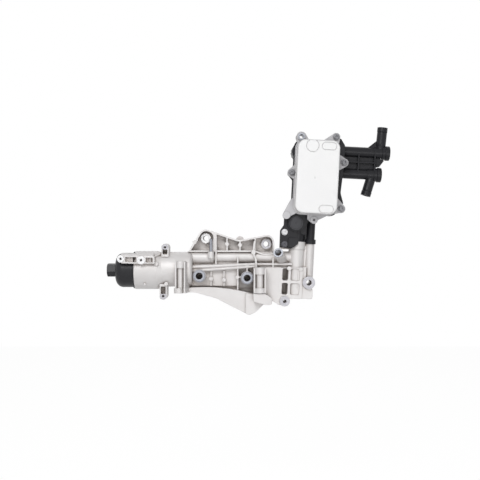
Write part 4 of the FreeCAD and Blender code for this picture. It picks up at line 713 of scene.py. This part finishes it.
@dataclass
class RoundAxis:
    """An axis with two directions square to it, for points on a round wall."""

    start: Point
    direction: Point

    def __post_init__(self) -> None:
        """Works out the two square directions."""
        self.along = Vector(self.direction).normalized()
        self.side = self.along.orthogonal().normalized()
        self.other = self.along.cross(self.side)

    def centre(self, reach: float) -> Vector:
        """Returns the point at a reach along the axis."""
        return Vector(self.start) + self.along * reach

    def outward(self, angle: float) -> Vector:
        """Returns the direction that leads away from the axis at an angle."""
        return self.side * math.cos(angle) + self.other * math.sin(angle)


@dataclass
class ScrewThread:
    """A helical ridge on a round wall, outside a shaft or inside a hole.

    Sizes are in metres. A negative height makes a ridge that stands inwards.
    """

    name: str
    start: Point
    axis: Point
    radius: float
    length: float
    pitch: float
    height: float
    body: Body
    slot: Slot
    steps: int
    root_share: float = 0.40
    tip_share: float = 0.12
    sunk: float = 0.00004
    run_out_turns: float = 0.25

    def build(self, materials: Materials) -> bpy.types.Object:
        """Makes the ridge.

        Args:
            materials: Finishes by slot name.

        Returns:
            The new object.
        """
        mesh = bpy.data.meshes.new(self.name)
        mesh.from_pydata(*self._shape())
        tidy = bmesh.new()
        tidy.from_mesh(mesh)
        bmesh.ops.recalc_face_normals(tidy, faces=tidy.faces)
        tidy.to_mesh(mesh)
        tidy.free()
        return add_piece(self.name, mesh, self.slot, self.body, materials)

    def _shape(self) -> tuple[list[Vector], list[Any], list[tuple[int, ...]]]:
        """Works out the ridge.

        Returns:
            Its points, an empty list of edges and its faces.
        """
        axis = RoundAxis(self.start, self.axis)
        root, tip = self.pitch * self.root_share, self.pitch * self.tip_share
        rise = abs(self.height)
        profile = ((-root, -self.sunk), (-tip, rise), (tip, rise), (root, -self.sunk))
        corners_round = len(profile)
        sign = 1.0 if self.height > 0 else -1.0
        count = int((self.length - 2 * root) / self.pitch * self.steps)
        fade = self.steps * self.run_out_turns
        points = []
        for index in range(count + 1):
            run_out = min(1.0, index / fade, (count - index) / fade)
            centre = axis.centre(root + self.pitch * index / self.steps)
            outward = axis.outward(math.tau * index / self.steps)
            for shift, level in profile:
                lift = level * run_out if level > 0 else level
                points.append(centre + axis.along * shift + outward * (self.radius + sign * lift))
        faces = []
        for first in range(0, count * corners_round, corners_round):
            for corner in range(corners_round):
                following = (corner + 1) % corners_round
                faces.append((first + corner, first + following, first + corners_round + following,
                              first + corners_round + corner))
        faces.append(tuple(range(corners_round))[::-1])
        faces.append(tuple(count * corners_round + corner for corner in range(corners_round)))
        return points, [], faces


@dataclass
class Threads:
    """Threads of the screw cap, the sensor port and the small tapped holes, in metres."""

    cap_end: Point = (-0.2015, -0.046, -0.0605)
    port_end: Point = (0.0755, -0.084, -0.0255)
    port_tilt: Point = (6.4, 24.0, -10.6)
    tapped: tuple[tuple[str, Point], ...] = (
        ("arm_left", (-0.234, -0.0935, -0.037)),
        ("arm_right", (-0.194, -0.0935, -0.0395)),
        ("tab_upper", (-0.149, -0.072, -0.0145)),
        ("tab_lower", (-0.1525, -0.072, -0.1115)),
    )

    def pieces(self) -> list[ScrewThread]:
        """Lists every thread of the part.

        Returns:
            The threads, in the order of building.
        """
        threads = [
            ScrewThread("cap_thread", self.cap_end, (1, 0, 0), radius=0.0336, length=0.0105,
                        pitch=0.004, height=0.00026, body=Body.SCREW_CAP, slot=Slot.CAP, steps=72),
            ScrewThread("port_thread", self.port_end, self.port_tilt, radius=0.0064, length=0.0145,
                        pitch=0.0015, height=-0.0006, body=Body.HOUSING, slot=Slot.STEEL, steps=36),
        ]
        for name, place in self.tapped:
            threads.append(ScrewThread("thread_" + name, place, INWARDS, radius=0.0025, length=0.0105,
                                       pitch=0.001, height=-0.00028, body=Body.HOUSING,
                                       slot=Slot.CASTING, steps=20))
        return threads

    def build(self, materials: Materials) -> None:
        """Builds every thread."""
        for thread in self.pieces():
            thread.build(materials)


@dataclass
class ValveSpring:
    """Coil of the bypass valve, copied from the imported one.

    Sizes are in metres.
    """

    node: str = "bypass_spring"
    joint: str = "bypass_opening"
    travel: float = 0.005
    spare: float = 0.00004

    def build(self, frame: dict[str, Any], materials: Materials) -> bpy.types.Object:
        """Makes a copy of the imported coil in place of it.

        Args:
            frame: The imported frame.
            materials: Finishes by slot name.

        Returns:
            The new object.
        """
        mesh = frame["nodes"][self.node].data.copy()
        mesh.materials.clear()
        coil = add_piece("bypass_spring_coil", mesh, Slot.STEEL, Body.HOUSING, materials)
        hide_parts(self.node)
        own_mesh(coil)
        return coil


@dataclass
class SpigotSkin:
    """Fluted skin that gives a hose spigot its full thickness between the pipe and the bead.

    Sizes are in metres. The skin tapers at both ends, is open there, and rides with the manifold.
    """

    name: str
    start: Point
    axis: Point
    from_start: float
    to_bead: float
    end_radius: float = 0.0089
    full_radius: float = 0.0098
    start_taper: float = 0.0035
    end_taper: float = 0.0012
    flute_fade: float = 0.003
    faint_share: float = 0.3
    flutes: int = 12
    flute_depth: float = 0.00035
    flute_power: int = 4
    steps: int = 96

    def build(self, materials: Materials) -> bpy.types.Object:
        """Makes the skin.

        Args:
            materials: Finishes by slot name.

        Returns:
            The new object.
        """
        axis = RoundAxis(self.start, self.axis)
        shoulder = self.from_start + self.start_taper
        rows = ((self.from_start, self.end_radius, 0.0),
                (shoulder, self.full_radius, self.faint_share),
                (shoulder + self.flute_fade, self.full_radius, 1.0),
                (self.to_bead - self.flute_fade, self.full_radius, 1.0),
                (self.to_bead - self.end_taper, self.full_radius, 0.0),
                (self.to_bead, self.end_radius, 0.0))
        points = []
        for reach, radius, share in rows:
            for index in range(self.steps):
                angle = math.tau * index / self.steps
                wave = max(0.0, math.cos(self.flutes * angle))
                groove = self.flute_depth * share * wave ** self.flute_power
                points.append(axis.centre(reach) + axis.outward(angle) * (radius - groove))
        faces = []
        for low in range(0, (len(rows) - 1) * self.steps, self.steps):
            high = low + self.steps
            for index in range(self.steps):
                following = (index + 1) % self.steps
                faces.append((low + index, low + following, high + following, high + index))
        mesh = bpy.data.meshes.new(self.name)
        mesh.from_pydata(points, [], faces)
        mesh.shade_smooth()
        return add_piece(self.name, mesh, Slot.MOULDED, Body.HOUSING, materials)


@dataclass(frozen=True)
class Spigot:
    """Place of one hose spigot in the upright manifold, in metres and degrees."""

    name: str
    x: float
    z: float
    lean: float
    from_start: float
    to_bead: float


@dataclass
class HoseSpigots:
    """Skins of the two hose spigots of the manifold, placed in its leaning frame."""

    tilt: float = 3.0
    pivot: tuple[float, float] = (0.120, -0.060)
    depth: float = -0.052
    spigots: tuple[Spigot, ...] = (
        Spigot("spigot_skin_upper", x=0.2688, z=0.1825, lean=3.0, from_start=0.0128, to_bead=0.0418),
        Spigot("spigot_skin_lower", x=0.2550, z=0.1383, lean=194.5, from_start=0.0090, to_bead=0.0348),
    )

    def place(self, x: float, z: float) -> Point:
        """Leans a point of the upright manifold over to its place.

        Args:
            x: Place along the barrel.
            z: Height.

        Returns:
            The point in the part's frame.
        """
        turn = math.radians(self.tilt)
        dx, dz = x - self.pivot[0], z - self.pivot[1]
        return (self.pivot[0] + dx * math.cos(turn) + dz * math.sin(turn), self.depth,
                self.pivot[1] - dx * math.sin(turn) + dz * math.cos(turn))

    def build(self, materials: Materials) -> None:
        """Builds both skins.

        Args:
            materials: Finishes by slot name.
        """
        for spigot in self.spigots:
            angle = math.radians(spigot.lean + self.tilt)
            axis = (math.sin(angle), 0.0, math.cos(angle))
            SpigotSkin(spigot.name, self.place(spigot.x, spigot.z), axis, spigot.from_start,
                       spigot.to_bead).build(materials)


@dataclass(frozen=True)
class Lamp:
    """A square area lamp: place and side in metres, power in watts."""

    name: str
    place: Point
    power: float
    side: float

    def build(self, target: Point) -> None:
        """Adds the lamp.

        Args:
            target: Point that it is aimed at.
        """
        light = bpy.data.lights.new(self.name, "AREA")
        light.energy = self.power
        light.size = self.side
        lamp = bpy.data.objects.new(self.name, light)
        lamp.location = self.place
        aim = Vector(target) - Vector(self.place)
        lamp.rotation_euler = aim.to_track_quat("-Z", "Y").to_euler()
        bpy.context.collection.objects.link(lamp)


@dataclass
class Studio:
    """Plain pale floor, soft light and the camera of the photograph."""

    floor_level: float = -0.62
    floor_size: float = 6.0
    floor_tone: float = 0.9
    floor_roughness: float = 0.9
    floor_glow: float = 1.06
    glow_share: float = 0.9
    world_strength: float = 0.26
    camera_place: Point = (0.0, -1.66, 0.0)
    lens: float = 60.0
    target: Point = (0.02, -0.06, 0.0)
    lamps: tuple[Lamp, ...] = (
        Lamp("front", (-0.42, -1.75, 0.95), power=17.5, side=0.7),
        Lamp("low", (0.5, -1.9, -0.35), power=8.0, side=0.9),
        Lamp("back", (0.2, 1.2, 1.3), power=4.0, side=1.2),
    )

    def build(self) -> None:
        """Builds the floor, the world, the lamps and the camera."""
        self._floor()
        self._world()
        for lamp in self.lamps:
            lamp.build(self.target)
        self._camera()

    @staticmethod
    def _seen(graph: Graph) -> bpy.types.NodeSocket:
        """Picks out the rays that look at the background, straight or by way of gloss or glass.

        Args:
            graph: Graph of the material or the world.

        Returns:
            A socket that gives 1 for these rays.
        """
        path = graph.add("LightPath")
        gloss = graph.maths("MAXIMUM", path.outputs["Is Camera Ray"], path.outputs["Is Glossy Ray"])
        return graph.maths("MAXIMUM", gloss, path.outputs["Is Transmission Ray"])

    @staticmethod
    def _mix_shaders(graph: Graph, share: bpy.types.NodeSocket, first: bpy.types.Node,
                     second: bpy.types.Node, output: str) -> None:
        """Mixes two shaders into the output node.

        Args:
            graph: Graph of the material or the world.
            share: Share of the second shader.
            first: First shader node.
            second: Second shader node.
            output: Name of the output node.
        """
        mixer = graph.add("MixShader")
        graph.join(share, mixer.inputs[0])
        graph.join(first.outputs[0], mixer.inputs[1])
        graph.join(second.outputs[0], mixer.inputs[2])
        graph.join(mixer.outputs[0], graph.tree.nodes[output].inputs["Surface"])

    def _floor(self) -> None:
        """Makes the pale floor, which keeps the shadow and shows almost white."""
        half = self.floor_size / 2
        mesh = bpy.data.meshes.new("floor")
        mesh.from_pydata([(-half, -half, 0), (half, -half, 0), (half, half, 0), (-half, half, 0)], [],
                         [(0, 1, 2, 3)])
        floor = bpy.data.objects.new("floor", mesh)
        floor.location = (0, 0, self.floor_level)
        bpy.context.collection.objects.link(floor)
        material, graph, shader = new_material("floor paint")
        shader.inputs["Base Color"].default_value = (self.floor_tone, self.floor_tone, self.floor_tone, 1.0)
        shader.inputs["Roughness"].default_value = self.floor_roughness
        glow = graph.add("Emission", Color=WHITE, Strength=self.floor_glow)
        share = graph.maths("MULTIPLY", self._seen(graph), self.glow_share)
        self._mix_shaders(graph, share, shader, glow, "Material Output")
        mesh.materials.append(material)

    def _world(self) -> None:
        """Sets a soft even sky that the camera and glossy surfaces see as white."""
        world = bpy.data.worlds.new("studio")
        bpy.context.scene.world = world
        world.use_nodes = True
        graph = Graph(world.node_tree)
        soft = graph.tree.nodes["Background"]
        soft.inputs["Color"].default_value = WHITE
        soft.inputs["Strength"].default_value = self.world_strength
        white = graph.add("Background", Color=WHITE, Strength=1.0)
        self._mix_shaders(graph, self._seen(graph), soft, white, "World Output")

    def _camera(self) -> None:
        """Adds the camera, level and square on to the outer side."""
        data = bpy.data.cameras.new("camera")
        data.lens = self.lens
        camera = bpy.data.objects.new("camera", data)
        camera.location = self.camera_place
        camera.rotation_euler = (math.pi / 2, 0, 0)
        bpy.context.collection.objects.link(camera)
        bpy.context.scene.camera = camera


def main() -> None:
    """Builds the finishes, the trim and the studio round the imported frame."""
    logging.basicConfig(level=logging.INFO)
    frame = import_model()
    bpy.context.scene.view_settings.view_transform = "Standard"
    finishes = Finishes(Effects())
    materials = finishes.build()
    PackedParts(frame, materials, finishes.build_extra()).dress()
    Threads().build(materials)
    ValveSpring().build(frame, materials)
    HoseSpigots().build(materials)
    Studio().build()


if __name__ == "__main__":
    main()
